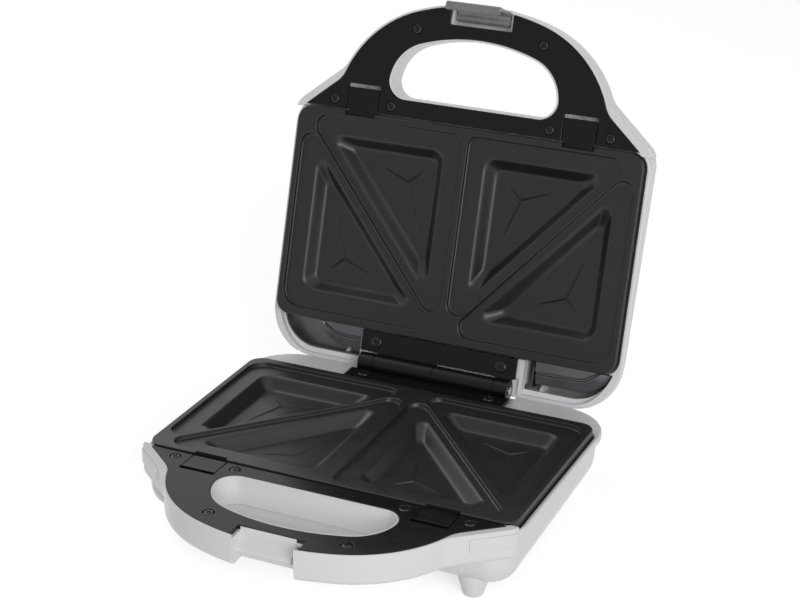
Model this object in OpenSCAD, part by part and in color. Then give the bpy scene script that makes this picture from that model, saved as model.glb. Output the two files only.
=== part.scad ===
// Sandwich toaster: two hinged casings, each with a removable cooking plate, shown open.
// Both halves are drawn in one half frame: x = 0 is the middle, y = 0 is the front edge of the
// plate, +y runs to the hinge, z = 0 is the plane where the closed halves meet, -z goes into the
// casing. place_base() stands the base half up and place_lid() mirrors and opens the lid half.

/* [Cooking plates] */
// Width of a cooking plate
plate_w = 226; // [216:1:240]
// Depth of a cooking plate from front edge to rear edge
plate_d = 132.2; // [128:0.1:140]
// Corner radius of a cooking plate
plate_corner_r = 9; // [5:0.5:12]
// Thickness of the top of a plate
plate_t = 4.4; // [4:0.1:5]
// How far a plate's skirt reaches below the parting plane
skirt_depth = 7; // [6.5:0.1:8]
// Thickness of the skirt round a plate
skirt_t = 2.6; // [2:0.1:3.5]
// Gap between the two plates when the lid is closed
plate_gap = 0.6; // [0.4:0.1:1]
// Depth of the triangular cells below a plate's top
cell_depth = 2.5; // [1.5:0.1:2.8]
// Width of the divider between the two sandwiches
divider_w = 3.8; // [3:0.1:6]
// Width of the ridge between the two cells of a sandwich
ridge_w = 1.2; // [1:0.1:2]
// Width of a plate's rim in front of the cells
front_rim = 4.3; // [3.5:0.1:6]
// Width of a plate's rim behind the cells
rear_rim = 5.4; // [4:0.1:7]
// Width of a plate's rim beside the cells
side_rim = 3.7; // [3:0.1:6]
// Depth of a pocket below the floor of its cell
pocket_depth = 7.2; // [5:0.1:8]
// Flat margin between a pocket and the straight sides of its cell
pocket_leg_margin = 12.1; // [10:0.1:15]
// Flat margin between a pocket and the diagonal ridge
pocket_ridge_margin = 6.4; // [5:0.1:8]
// How far a pocket's wall leans in from its top to its floor
pocket_slope = 6.5; // [4:0.1:8]
// Metal thickness under a pocket
pocket_wall = 2; // [1.5:0.1:2.5]

/* [Casings] */
// Width of the casing beside the plate, on each side
side_border = 3.3; // [3:0.1:5]
// Depth of the casing behind the plate
rear_border = 25.2; // [24.5:0.1:28]
// Depth of the casing in front of the plate
front_border = 8; // [7.5:0.1:10]
// Height of a casing, from the parting plane to its outer face
case_depth = 40; // [38:0.5:46]
// Height of the casing's rim below the parting plane
rim_z = 5; // [4.5:0.1:5.5]
// Corner radius at the rear of the casing, seen from above
rear_corner_r = 30.5; // [28:0.5:34]
// Corner radius at the front of the casing, seen from above
front_corner_r = 20; // [18:0.5:24]
// Rounding between the sides and the outer face
edge_r = 14; // [10:0.5:16]
// Rounding of the rim's outer edge
rim_r = 1.2; // [0.6:0.1:1.5]
// Height of the rim that stands out round the casing
rim_h = 4.4; // [4:0.1:5]
// How far the rim stands out from the casing's sides
rim_step = 3.3; // [1:0.1:3.3]
// Thickness of the casing's walls
wall = 2.4; // [2:0.1:2.8]
// Gap between a plate and the casing round it
plate_clear = 1; // [0.6:0.1:1.5]
// Width of the ledge that carries the plate at its sides
ledge_w = 12; // [10:0.1:14]
// Height of the feet below the base
foot_h = 10.5; // [8:0.1:14]
// Radius at the top of a foot
foot_top_r = 9.2; // [8:0.1:11]
// Radius at the bottom of a foot
foot_r = 6; // [5:0.1:7.5]

/* [Handles] */
// How far a handle reaches in front of the plate, to the edge of its cover
handle_reach = 72.5; // [70:0.1:76]
// Radius of the handle's front edge
handle_front_r = 132.3; // [128:0.1:140]
// Angle of the handle's front arc, on each side of the middle
handle_arc = 18; // [14:0.5:22]
// Radius of the handle's sides
handle_side_r = 70; // [66:0.5:74]
// Depth of a handle below the parting plane
handle_depth = 20; // [19:0.1:22]
// Height of the covers' tops below the parting plane
cover_z = 1.3; // [1.1:0.1:1.6]
// Thickness of a handle cover
cover_t = 2.5; // [2:0.1:3]
// Width of the white lip round a cover
lip_w = 1.4; // [1:0.1:2]
// Width of the handle's front band, across the cover
band_w = 19.1; // [17:0.1:20]
// Half width of the finger opening
opening_half_w = 55.3; // [50:0.1:57]
// Radius of the finger opening's rear corners
opening_r = 12; // [10:0.1:13]
// Radius of the finger opening's front corners
opening_side_r = 27; // [24:0.5:30]
// Distance from the plate's front edge to the finger opening
opening_rear = 11.4; // [11:0.1:14]
// Fillet between the handle and its shoulders
shoulder_fillet = 18; // [10:1:24]
// How far the white lug stands out from the cover's shoulder
lug_w = 4.6; // [3:0.1:6]
// How far the lug's end stays inside the casing's side
lug_end = 0.8; // [0.4:0.1:3]
// Height of the lug on the outside of the casing
lug_depth = 12; // [8:0.5:15]

/* [Hinge] */
// Angle between the casings when the lid is fully open
open_angle = 106; // [100:1:108]
// Distance of the hinge axis behind the plate
hinge_setback = 20.7; // [20.2:0.1:21.2]
// Radius of the hinge barrel
barrel_r = 6.3; // [5.5:0.1:6.4]
// Radius of the hinge pin
pin_r = 2; // [1.5:0.1:2.5]
// Half length of the hinge barrel
barrel_half = 49.5; // [46:0.1:50]
// Length of an outer knuckle
outer_knuckle = 9.5; // [7:0.1:12]
// Thickness of a hinge leaf
leaf_t = 2.5; // [2:0.1:2.8]
// Half width of a hinge leaf
leaf_half = 50.5; // [50.2:0.1:51.5]

/* [Latch and clips] */
// Width of the latch
latch_w = 34.5; // [28:0.1:35]
// Distance of the latch pin in front of the plate
latch_reach = 66.2; // [65.8:0.1:66.6]
// Height of the latch pin above the parting plane
latch_pin_z = 8; // [7.5:0.1:9]
// Radius of the latch pin
latch_pin_r = 1.5; // [1.2:0.1:1.8]
// Thickness of the latch
latch_t = 2.2; // [1.8:0.1:2.4]
// Angle at which the free latch hangs away from its latched place
latch_rest = 8.5; // [7:0.5:12]
// Radius of the catch bar
catch_r = 2.1; // [1.8:0.1:2.4]
// Distance of a clip's middle from the middle of the toaster
clip_x = 70.7; // [66:0.1:72]
// Width of a clip
clip_w = 21; // [17:0.1:22]
// Length of a clip
clip_l = 14; // [12:0.1:15]
// Travel of a clip towards the handle
clip_travel = 2; // [1.8:0.1:2.2]

/* [Heating] */
// Depth of the reflector pan's floor below the parting plane
pan_depth = 24; // [23.5:0.1:26]
// Thickness of the reflector's sheet
sheet_t = 0.8; // [0.5:0.1:1]
// Radius of the heating tube
tube_r = 3.3; // [2.8:0.1:3.4]
// Depth of the heating tube's axis below the parting plane
tube_z = 16.6; // [16.5:0.1:17.5]
// Distance between the two legs of the heating tube
tube_span = 56; // [44:1:60]

/* [Hidden] */

// clearances and small parts
fit = 0.2;                  // gap round a cover in its seat
bore_fit = 0.15;            // gap round a pin in its bore
far = 200;                  // longer than any cut
screw_head_r = 3;
screw_head_h = 1.2;
screw_shank_r = 1.45;
screw_len = 7;
driver_slot = 0.8;          // width of a screw's cross slot

// the casing's outline
case_half = plate_w / 2 + side_border;
case_rear = plate_d + rear_border;
rear_cx = case_half - rear_corner_r;
rear_cy = case_rear - rear_corner_r;
front_cx = case_half - front_corner_r;
front_cy = front_corner_r - front_border;
stand_h = case_depth + foot_h;

// the plate and what carries it
plate_top = -plate_gap / 2;
slab_z = plate_top - plate_t;
cell_floor = plate_top - cell_depth;
seat_half = plate_w / 2 + plate_clear;
seat_rear = plate_d + plate_clear + fit;
ledge_z = -skirt_depth - sheet_t;
ledge_bottom = ledge_z - wall;
window_half = seat_half - ledge_w;
window_front = ledge_w - 3;
window_rear = plate_d - window_front;
well_half = window_half - 4;
well_front = window_front + 4;
well_rear = window_rear - 4;

// the handle
arc_cy = handle_front_r - handle_reach;
side_c = [sin(handle_arc), -cos(handle_arc)] * (handle_front_r - handle_side_r) + [0, arc_cy];
cover_rear = 1;             // gap between cover and plate
shoulder_x = plate_w / 2;
shoulder_y = 2.5;
shoulder_slope = 0.85;
shoulder_d = [1, shoulder_slope] / sqrt(1 + pow(shoulder_slope, 2));
shoulder_n = [shoulder_d[1], -shoulder_d[0]];   // points outwards from the shoulder's edge
lug_corner_r = 11;
cover_bottom = -cover_z - cover_t;
tray_floor = -handle_depth + wall;
notch_half = 20.1;          // half width of the cover's notch for the latch
notch_rear = 60.8;          // how far in front of the plate the notch ends
recess_half = latch_w / 2 + 1.15;
recess_depth = 16;

// the hinge
hinge_y = plate_d + hinge_setback;
leaf_front = seat_rear + 0.1;
leaf_rear = hinge_y - barrel_r - 0.7;
trough_z = -barrel_r - 0.7;
trough_half = leaf_half + 2.5;
hinge_screw_x = 41.5;
hinge_screw_y = (leaf_front + leaf_rear) / 2;
lid_wall_cut = 7.5;         // the lid's rear wall starts this far from the parting plane
lid_wall_back = 2.5;        // the lid's rim stops this far before its rear

// the model's own frame: origin under the middle of the open toaster
open_rear = hinge_y - (hinge_y + handle_reach + lip_w) * cos(open_angle)
    + handle_depth * sin(open_angle);
origin_y = (open_rear - handle_reach - lip_w) / 2;

// clips and their housings
clip_front = 1.1;           // gap between a clip and the plate
clip_pocket_front = -clip_front - clip_l - clip_travel - 0.3;
clip_floor = -10;
spring_z = -7.4;
spring_r = 1.5;
spring_wire = 0.35;
spring_l = 9.5;
spring_turns = 5;
tongue_t = 1.4;
tongue_top = -2.2;
plate_slot_d = 2.4;         // depth of the slot in the plate's front edge

// plate tabs and catches at the rear
tab_x = 72;
tab_w = 15;
tab_t = 1.2;
catch_w = 18;
catch_t = 1.2;
catch_floor = -9;
catch_top = -rim_z - 0.65;  // just under the casing's rear shelf

// heating
tube_y1 = (well_front + well_rear - tube_span) / 2;
tube_y2 = tube_y1 + tube_span;
tube_bend_x = -46;
tube_end_x = well_half + 4;
clamp_xs = [-30, 60];

// screw places
trim_screws = [[90.1, -6.5], [51.8, -6.5], [41.1, -55.5]];
pan_screw_x = window_half + 3.6;
pan_screw_ys = [14, plate_d - 14];
gland_x = -70;
gland_z = -21;
gland_r = 5;
lamp_xs = [-14, 14];
lamp_y = 24;

// colours
white = "white";
black = [0.08, 0.08, 0.08];
charcoal = [0.2, 0.2, 0.2];
steel = "silver";
smoke = [0.5, 0.5, 0.48];
ceramic = "ivory";
red = "red";
green = "green";
board_green = "seagreen";

// ---------- placing ----------

module place_base()
    translate([0, -origin_y, stand_h]) children();

module place_lid()
    place_base()
        translate([0, hinge_y, 0]) rotate([-open_angle, 0, 0]) translate([0, -hinge_y, 0])
            mirror([0, 0, 1]) children();

module both_sides()
    for (side = [-1, 1]) mirror([side < 0 ? 1 : 0, 0, 0]) children();

// ---------- helpers ----------

function arc(cx, cy, r, a0, a1, n = 8) =
    [for (i = [0:n]) let (a = a0 + (a1 - a0) * i / n) [cx + r * cos(a), cy + r * sin(a)]];

// a box from one corner to the other
module block(a, b)
    translate(a) cube(b - a);

// a straight round rod between two points
module rod(a, b, r) {
    v = b - a;
    translate(a) rotate([0, acos(v[2] / norm(v)), atan2(v[1], v[0])])
        cylinder(r = r, h = norm(v), $fn = 10);
}

// a bent wire through points, with round bends
module wire(points, r) {
    for (i = [0:len(points) - 2]) rod(points[i], points[i + 1], r);
    for (i = [1:len(points) - 2]) translate(points[i]) sphere(r = 1.2 * r, $fn = 10);
}

module rounded_2d(half, y0, y1, r)
    translate([0, (y0 + y1) / 2])
        offset(r = r, $fn = 32) square([2 * (half - r), y1 - y0 - 2 * r], center = true);

// screw: pan head with its top at z = 0, cross slot, shank going down
module screw(head_r, head_h, length) {
    difference() {
        translate([0, 0, -head_h]) cylinder(r1 = head_r, r2 = head_r - 0.4, h = head_h, $fn = 32);
        for (a = [0, 90])
            rotate([0, 0, a]) translate([0, 0, -0.25]) cube([head_r * 1.3, driver_slot, 1.3], center = true);
    }
    translate([0, 0, -head_h - length]) cylinder(r = screw_shank_r, h = length, $fn = 24);
}

// ---------- casing ----------

module case_plan(inset)
    polygon(concat(
        arc(rear_cx, rear_cy, rear_corner_r - inset, 0, 90),
        arc(-rear_cx, rear_cy, rear_corner_r - inset, 90, 180),
        arc(-front_cx, front_cy, front_corner_r - inset, 180, 270),
        arc(front_cx, front_cy, front_corner_r - inset, 270, 360)));

// one corner of the casing: turned, with the rounded outer edge and rim
module case_corner(x, y, r, bottom_r, top_z, top_r, bottom_z)
    translate([x, y, 0]) rotate_extrude($fn = 32)
        polygon(concat(
            [[0, bottom_z]],
            arc(r - bottom_r, bottom_z + bottom_r, bottom_r, 270, 360, 6),
            arc(r - top_r, top_z - top_r, top_r, 0, 90, 3),
            [[0, top_z]]));

// the casing's body, set in from its rim at the sides and the rear
module case_form(inset, top_z, top_r)
    hull() for (side = [-1, 1]) {
        case_corner(side * rear_cx, rear_cy, rear_corner_r - rim_step - inset, edge_r + 7 - inset,
            top_z, top_r, -case_depth + inset);
        case_corner(side * front_cx, front_cy - rim_step, front_corner_r - rim_step - inset, edge_r - inset,
            top_z, top_r, -case_depth + inset);
    }

// the rim round the casing's open side
module case_rim()
    hull() for (side = [-1, 1]) {
        rim_corner(side * rear_cx, rear_cy, rear_corner_r);
        rim_corner(side * front_cx, front_cy, front_corner_r);
    }

module rim_corner(x, y, r)
    translate([x, y, 0]) rotate_extrude($fn = 32)
        polygon(concat(
            [[0, -rim_z - rim_h], [r - rim_r / 2, -rim_z - rim_h], [r, -rim_z - rim_h + rim_r / 2]],
            arc(r - rim_r, -rim_z - rim_r, rim_r, 0, 90, 3),
            [[0, -rim_z]]));

// ---------- handle outlines ----------

// centre of the fillet between the handle's side and a shoulder edge moved out
function fillet_c(grow, out, r) =
    let (p = [shoulder_x, shoulder_y] + shoulder_n * (out + r),
        w = p - side_c,
        along = w * shoulder_d,
        reach = handle_side_r + grow + r)
    p + shoulder_d * (sqrt(along * along - w * w + reach * reach) - along);

// right half of the handle's outline, from the middle of its front to the shoulder
function handle_half(grow, out, r) =
    let (c = fillet_c(grow, out, r), v = c - side_c, side_end = 360 + atan2(v[1], v[0]))
    concat(
        arc(0, arc_cy, handle_front_r + grow, 270, 270 + handle_arc, 8),
        arc(side_c[0], side_c[1], handle_side_r + grow, 271 + handle_arc, side_end, 12),
        arc(c[0], c[1], r, side_end - 180, atan2(-shoulder_n[1], -shoulder_n[0]), 4));

// x of the shoulder's edge, moved out, at height y
function shoulder_at(out, y) =
    shoulder_x + (y - shoulder_y + out * sqrt(1 + pow(shoulder_slope, 2))) / shoulder_slope;

function mirrored(points) = concat(
    [for (i = [len(points) - 1:-1:1]) [-points[i][0], points[i][1]]], points);

// outline of the cover, grown by a margin and cut off straight at y = rear
module cover_outline(grow = 0, rear = -cover_rear)
    polygon(mirrored(concat(
        handle_half(grow, grow, shoulder_fillet - grow), [[shoulder_at(grow, rear), rear]])));

// white handle shell: the cover's outline, a lip wider, with lugs at its shoulders
module handle_outline(lug, inset = 0) {
    out = lug - inset;
    x = case_half - lug_end - inset - lug_corner_r;
    y = (x - shoulder_x) * shoulder_slope + shoulder_y
        - (out - lug_corner_r) * sqrt(1 + pow(shoulder_slope, 2));
    polygon(mirrored(concat(
        handle_half(lip_w - inset, out, shoulder_fillet),
        arc(x, y, lug_corner_r, atan2(shoulder_n[1], shoulder_n[0]), 0, 5),
        [[x + lug_corner_r, 24]])));
}

module opening_2d(grow = 0) {
    front = handle_front_r - band_w;
    side_x = opening_half_w - opening_side_r;
    side_y = arc_cy - sqrt(pow(front - opening_side_r, 2) - pow(side_x, 2));
    corner_x = opening_half_w - opening_r;
    corner_y = -opening_rear - opening_r;
    turn = 360 + atan2(side_y - arc_cy, side_x);
    side_end = 360 + asin((corner_y - side_y) / opening_side_r);
    polygon(mirrored(concat(
        arc(0, arc_cy, front + grow, 270, turn, 6),
        arc(side_x, side_y, opening_side_r + grow, turn + 2, side_end, 6),
        arc(corner_x, corner_y, opening_r + grow, 2, 90, 8),
        [[0, corner_y + opening_r + grow]])));
}

module handle_form() {
    step = 1.3;
    for (i = [0:2])
        translate([0, 0, -handle_depth + i * step])
            linear_extrude(step) handle_outline(lug_w - 1, [2.6, 1, 0.3][i]);
    translate([0, 0, -handle_depth + 3 * step])
        linear_extrude(handle_depth - 3 * step - cover_z) handle_outline(lug_w - 1);
    translate([0, 0, -lug_depth]) linear_extrude(lug_depth - cover_z) handle_outline(lug_w);
}

// ---------- casing shells ----------

module clip_housing()
    both_sides()
        block([clip_x - clip_w / 2 - 2, clip_pocket_front - spring_l - 1.6, clip_floor - 2.4],
            [clip_x + clip_w / 2 + 2, -front_border + 0.5, cover_bottom]);

module clip_pockets()
    both_sides() {
        block([clip_x - clip_w / 2 - 0.4, clip_pocket_front, clip_floor - 0.4],
            [clip_x + clip_w / 2 + 0.4, -cover_rear + 0.2, 1]);
        translate([clip_x, clip_pocket_front + 1, spring_z]) rotate([90, 0, 0])
            cylinder(r = spring_r + spring_wire + 0.4, h = spring_l - clip_travel + 0.7, $fn = 24);
    }

module latch_recess_block()
    block([-recess_half - wall, -handle_reach + 1, tray_floor - 0.1],
        [recess_half + wall, -notch_rear + wall, cover_bottom]);

module latch_recess(depth)
    block([-recess_half, -handle_reach - 9, -depth], [recess_half, -notch_rear - fit, 1]);

module foot()
    rotate_extrude($fn = 48)
        polygon(concat([[0, -stand_h], [foot_r - 1.2, -stand_h]],
            arc(foot_r - 1.2, -stand_h + 1.2, 1.2, 300, 350, 2),
            [[foot_top_r, -case_depth + 2], [foot_top_r, -case_depth + 4.5], [0, -case_depth + 4.5]]));

// the solid of a casing before its hollows: body, handle, hinge bridge
module case_outer(lid) {
    case_form(0, -rim_z - rim_h / 2, 0.1);
    case_rim();
    difference() {
        handle_form();
        block([-far, cover_rear, -far], [far, far, 1]);
    }
    block([-leaf_half - 1.5, seat_rear, ledge_bottom], [leaf_half + 1.5, leaf_rear, cover_bottom]);
    if (!lid) {
        for (x = [-89, 89], y = [4, case_rear - 17]) translate([x, y, 0]) foot();
        translate([gland_x, 0, gland_z]) rotate([-90, 0, 0])
            translate([0, 0, case_rear - 14]) cylinder(r = gland_r + 2, h = 14, $fn = 48);
    }
}

module case_hollow(lid) {
    case_form(wall, ledge_bottom, 0.1);
    // room for the plate, and the window through its ledge
    translate([0, 0, ledge_z]) linear_extrude(far)
        rounded_2d(seat_half, -cover_rear, seat_rear, plate_corner_r + plate_clear);
    translate([0, 0, ledge_bottom - 1]) linear_extrude(far)
        rounded_2d(window_half, window_front, window_rear, 6);
    // hollow handle, its finger opening and the seat of its cover
    translate([0, 0, tray_floor]) linear_extrude(far) difference() {
        cover_outline(lip_w - wall, -front_border);
        opening_2d(wall - lip_w);
    }
    translate([0, 0, cover_bottom]) linear_extrude(far) difference() {
        cover_outline(fit);
        opening_2d(-fit);
    }
    translate([0, 0, -far]) linear_extrude(2 * far) opening_2d(-lip_w);
    // trough for the hinge barrel
    block([-trough_half, leaf_rear, trough_z], [trough_half, case_rear + 1, 1]);
    latch_recess(lid ? recess_depth : far);
    if (lid) {
        block([-far, case_rear - lid_wall_back, -lid_wall_cut], [far, case_rear + 1, 1]);
        both_sides() intersection() {
            union() {
                translate([0, 0, ledge_bottom - 1]) linear_extrude(far) case_plan(rim_step + wall);
                translate([0, 0, -rim_z - rim_h + wall / 2]) linear_extrude(far) case_plan(wall);
            }
            block([trough_half + wall, seat_rear - 1, -far], [far, far, 1]);
        }
    }
}

module case_inner(lid) {
    clip_housing();
    difference() {
        latch_recess_block();
        latch_recess(lid ? recess_depth : far);
    }
    for (side = [-1, 1])
        translate([side * trim_screws[2][0], trim_screws[2][1], tray_floor - 0.1])
            cylinder(r = 3.6, h = cover_bottom - tray_floor + 0.1, $fn = 32);
    // bosses under the ledge for the reflector's screws
    both_sides() for (y = pan_screw_ys)
        translate([pan_screw_x, y, ledge_z - 9]) cylinder(r = 3.2, h = 9, $fn = 32);
    // seats of the plate catches
    both_sides()
        block([tab_x - catch_w / 2 - 1.5, seat_rear - 1, ledge_bottom],
            [tab_x + catch_w / 2 + 1.5, seat_rear + 4.5, catch_floor]);
    if (lid) {
        // cheeks beside the hinge
        both_sides()
            block([trough_half, leaf_front, ledge_bottom - 6], [trough_half + wall, case_rear - 8.5, -rim_z]);
        // posts of the lamp board
        for (x = [-24, 24]) translate([x, lamp_y, -case_depth + wall - 0.1])
            cylinder(r = 3, h = 8.1, $fn = 32);
    } else {
        // catch bar
        translate([-recess_half - 0.5, -latch_reach - 0.2, -11.9]) rotate([0, 90, 0])
            cylinder(r = catch_r, h = 2 * recess_half + 1, $fn = 32);
        // post of the terminal block
        block([-76, 118, -case_depth + wall - 0.1], [-52, 130, -case_depth + wall + 2]);
    }
}

module case_bores(lid) {
    clip_pockets();
    both_sides() for (p = trim_screws)
        translate([p[0], p[1], cover_bottom - screw_len])
            cylinder(r = screw_shank_r + bore_fit, h = screw_len + 1, $fn = 32);
    both_sides() translate([hinge_screw_x, hinge_screw_y, cover_bottom - screw_len])
        cylinder(r = screw_shank_r + bore_fit, h = screw_len + 1, $fn = 32);
    both_sides() for (y = pan_screw_ys) translate([pan_screw_x, y, ledge_z - screw_len])
        cylinder(r = screw_shank_r + bore_fit, h = screw_len + 1, $fn = 32);
    both_sides()
        block([tab_x - catch_w / 2 - 0.3, seat_rear - 1, catch_floor],
            [tab_x + catch_w / 2 + 0.3, seat_rear + 4, catch_top + 0.1]);
    if (lid) {
        translate([-recess_half - wall + 0.4, -latch_reach, -latch_pin_z]) rotate([0, 90, 0])
            cylinder(r = latch_pin_r + bore_fit, h = 2 * (recess_half + wall) - 0.8, $fn = 32);
        for (x = lamp_xs) translate([x, lamp_y, -case_depth - 1])
            cylinder(r = 3.2, h = wall + 2, $fn = 32);
    } else {
        translate([gland_x, case_rear - 20, gland_z]) rotate([-90, 0, 0])
            cylinder(r = gland_r - 1 + bore_fit, h = 30, $fn = 32);
    }
}

module case_shell(lid)
    difference() {
        union() {
            difference() {
                case_outer(lid);
                case_hollow(lid);
            }
            case_inner(lid);
        }
        case_bores(lid);
    }

module base_shell() color(white) place_base() case_shell(false);
module lid_shell() color(white) place_lid() case_shell(true);

// ---------- handle covers ----------

module trim()
    difference() {
        translate([0, 0, cover_bottom]) linear_extrude(cover_t) difference() {
            cover_outline();
            opening_2d();
            translate([-notch_half, -far - notch_rear]) square([2 * notch_half, far]);
            both_sides() translate([clip_x - clip_w / 2 - 0.4, clip_pocket_front])
                square([clip_w + 0.8, far]);
        }
        both_sides() for (p = trim_screws) translate([p[0], p[1], 0]) {
            translate([0, 0, -far]) cylinder(r = screw_shank_r + bore_fit, h = far, $fn = 32);
            translate([0, 0, -cover_z - screw_head_h]) cylinder(r = screw_head_r + 0.3, h = far, $fn = 32);
        }
    }

module trim_screw_set()
    both_sides() for (p = trim_screws)
        translate([p[0], p[1], -cover_z]) screw(screw_head_r, screw_head_h, screw_len - 0.3);

module base_trim() color(black) place_base() trim();
module lid_trim() color(black) place_lid() trim();
module base_trim_screws() color(black) place_base() trim_screw_set();
module lid_trim_screws() color(black) place_lid() trim_screw_set();

// ---------- cooking plates ----------

cell_x0 = divider_w / 2;
cell_x1 = plate_w / 2 - side_rim;
cell_y0 = front_rim;
cell_y1 = plate_d - rear_rim;
cell_diag = sqrt(pow(cell_x1 - cell_x0, 2) + pow(cell_y1 - cell_y0, 2));
diag_x = (cell_x1 - cell_x0) / cell_diag;   // unit vector along the diagonal
diag_y = (cell_y1 - cell_y0) / cell_diag;

// triangle in a sandwich cell, its legs moved in by leg and its diagonal by ridge;
// end 0 is the front inner triangle, end 1 the rear outer one
module cell_triangle(end, leg, ridge) {
    w = cell_x1 - cell_x0;
    h = cell_y1 - cell_y0;
    // legs of the smaller triangle
    k = 1 - (leg * diag_x + leg * diag_y + ridge) / (w * diag_y);
    translate([cell_x0 + w / 2, cell_y0 + h / 2]) rotate([0, 0, 180 * end])
        translate([-w / 2 + leg, -h / 2 + leg]) polygon([[0, 0], [w * k, 0], [0, h * k]]);
}

module soft_triangle(end, leg, ridge, r)
    offset(r = r, $fn = 24) offset(delta = -r) cell_triangle(end, leg, ridge);

module pocket(end)
    hull() {
        translate([0, 0, cell_floor - 0.05]) linear_extrude(0.1)
            soft_triangle(end, pocket_leg_margin, pocket_ridge_margin, 3.3);
        translate([0, 0, cell_floor - pocket_depth]) linear_extrude(0.1)
            soft_triangle(end, pocket_leg_margin + pocket_slope * 0.8,
                pocket_ridge_margin + pocket_slope * 0.8, 3);
    }

module pocket_boss(end) {
    translate([0, 0, slab_z - 1.8]) linear_extrude(2.2)
        soft_triangle(end, pocket_leg_margin - pocket_wall, pocket_ridge_margin - pocket_wall, 4);
    translate([0, 0, cell_floor - pocket_depth - pocket_wall])
        linear_extrude(pocket_depth + pocket_wall - 2)
            soft_triangle(end, pocket_leg_margin + 1.2, pocket_ridge_margin + 1.2, 4);
}

// three low creases that meet in the middle of a pocket's floor
module pocket_star(end) {
    cx = cell_x0 + 35.3;
    cy = cell_y0 + 34.1;
    translate([(cell_x0 + cell_x1) / 2, (cell_y0 + cell_y1) / 2, cell_floor - pocket_depth - 0.1])
        rotate([0, 0, 180 * end])
            translate([cx - (cell_x0 + cell_x1) / 2, cy - (cell_y0 + cell_y1) / 2, 0])
                linear_extrude(0.7) for (tip = [[-9, -8], [20.1, -7.5], [-9.8, 28.2]]) {
                    n = [-tip[1], tip[0]] / norm(tip);
                    polygon([tip, 0.6 * n, -0.1 * tip, -0.6 * n]);
                }
}

module cooking_plate() {
    difference() {
        union() {
            translate([0, 0, slab_z]) linear_extrude(plate_t)
                plate_outline(0);
            translate([0, 0, -skirt_depth]) linear_extrude(skirt_depth + slab_z + 0.1) difference() {
                plate_outline(0);
                plate_outline(skirt_t);
            }
            both_sides() for (end = [0, 1]) pocket_boss(end);
        }
        both_sides() for (end = [0, 1]) {
            translate([0, 0, cell_floor]) linear_extrude(far)
                soft_triangle(end, 0, ridge_w / 2, end == 0 ? 5.5 : 6.5);
            pocket(end);
        }
        both_sides()
            block([clip_x - clip_w / 2 + 0.6, -1, tongue_top - tongue_t - 0.3],
                [clip_x + clip_w / 2 - 0.3, plate_slot_d, 1]);
    }
    both_sides() for (end = [0, 1]) pocket_star(end);
    // rear tabs that slip into the catches
    both_sides()
        block([tab_x - tab_w / 2, plate_d - 1, -skirt_depth + 0.1],
            [tab_x + tab_w / 2, plate_d + 4.4, -skirt_depth + 0.1 + tab_t]);
}

module plate_outline(inset)
    translate([0, plate_d / 2]) offset(r = plate_corner_r - inset, $fn = 48)
        square([plate_w - 2 * plate_corner_r, plate_d - 2 * plate_corner_r], center = true);

// bracket with a window for a plate's rear tab
module plate_catches()
    both_sides() difference() {
        block([tab_x - catch_w / 2, seat_rear + 0.2, catch_floor],
            [tab_x + catch_w / 2, seat_rear + 0.2 + catch_t, catch_top]);
        block([tab_x - tab_w / 2 - 0.4, 0, -skirt_depth - 0.2],
            [tab_x + tab_w / 2 + 0.4, far, -skirt_depth + tab_t + 0.4]);
    }

module base_plate() color(charcoal) place_base() cooking_plate();
module lid_plate() color(charcoal) place_lid() cooking_plate();
module base_plate_catches() color(steel) place_base() plate_catches();
module lid_plate_catches() color(steel) place_lid() plate_catches();

// ---------- hinge ----------

// leaf with two knuckles; hand = 1 for the base, -1 for the lid
module hinge_leaf(hand) {
    inner = barrel_half - outer_knuckle;
    spans = [[-barrel_half, -inner - bore_fit], [bore_fit, inner - bore_fit]];
    difference() {
        union() {
            block([-leaf_half, leaf_front, cover_bottom], [leaf_half, leaf_rear, cover_bottom + leaf_t]);
            for (s = spans) {
                x0 = hand > 0 ? s[0] : -s[1];
                x1 = hand > 0 ? s[1] : -s[0];
                block([x0, leaf_rear - 1, cover_bottom], [x1, hinge_y - pin_r - 1, cover_bottom + leaf_t]);
                translate([x0, hinge_y, 0]) rotate([0, 90, 0])
                    cylinder(r = barrel_r, h = x1 - x0, $fn = 48);
            }
        }
        translate([-far, hinge_y, 0]) rotate([0, 90, 0])
            cylinder(r = pin_r + bore_fit, h = 2 * far, $fn = 48);
        both_sides() translate([hinge_screw_x, hinge_screw_y, -far])
            cylinder(r = screw_shank_r + bore_fit, h = 2 * far, $fn = 32);
    }
}

module hinge_screw_set()
    both_sides() translate([hinge_screw_x, hinge_screw_y, cover_bottom + leaf_t + 0.9])
        screw(3.6, 0.9, screw_len);

module base_hinge_leaf() color(black) place_base() hinge_leaf(1);
module lid_hinge_leaf() color(black) place_lid() hinge_leaf(-1);
module base_hinge_screws() color(black) place_base() hinge_screw_set();
module lid_hinge_screws() color(black) place_lid() hinge_screw_set();

module hinge_pin()
    color(steel) place_base() translate([-barrel_half + 0.5, hinge_y, 0]) rotate([0, 90, 0]) {
        cylinder(r = pin_r, h = 2 * barrel_half, $fn = 48);
        translate([0, 0, 2 * barrel_half - 0.3]) cylinder(r = pin_r + 1.2, h = 1, $fn = 48);
    }

// ---------- plate clips ----------

module clip(side) {
    y0 = -clip_front - clip_l;
    translate([side * clip_x, 0, 0]) {
        block([-clip_w / 2, y0, cover_bottom - 0.4], [clip_w / 2, -clip_front, -cover_z]);
        block([-clip_w / 2 + 3.5, y0, clip_floor], [clip_w / 2 - 3.5, -clip_front - 3, cover_bottom]);
        block([-clip_w / 2, y0, -cover_z - 0.1], [clip_w / 2, y0 + 3.6, -cover_z + 0.8]);
        block([-clip_w / 2 + 1.6, -clip_front - 1, tongue_top - tongue_t],
            [clip_w / 2 - 1.6, plate_slot_d - 0.6, tongue_top]);
    }
}

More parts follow.
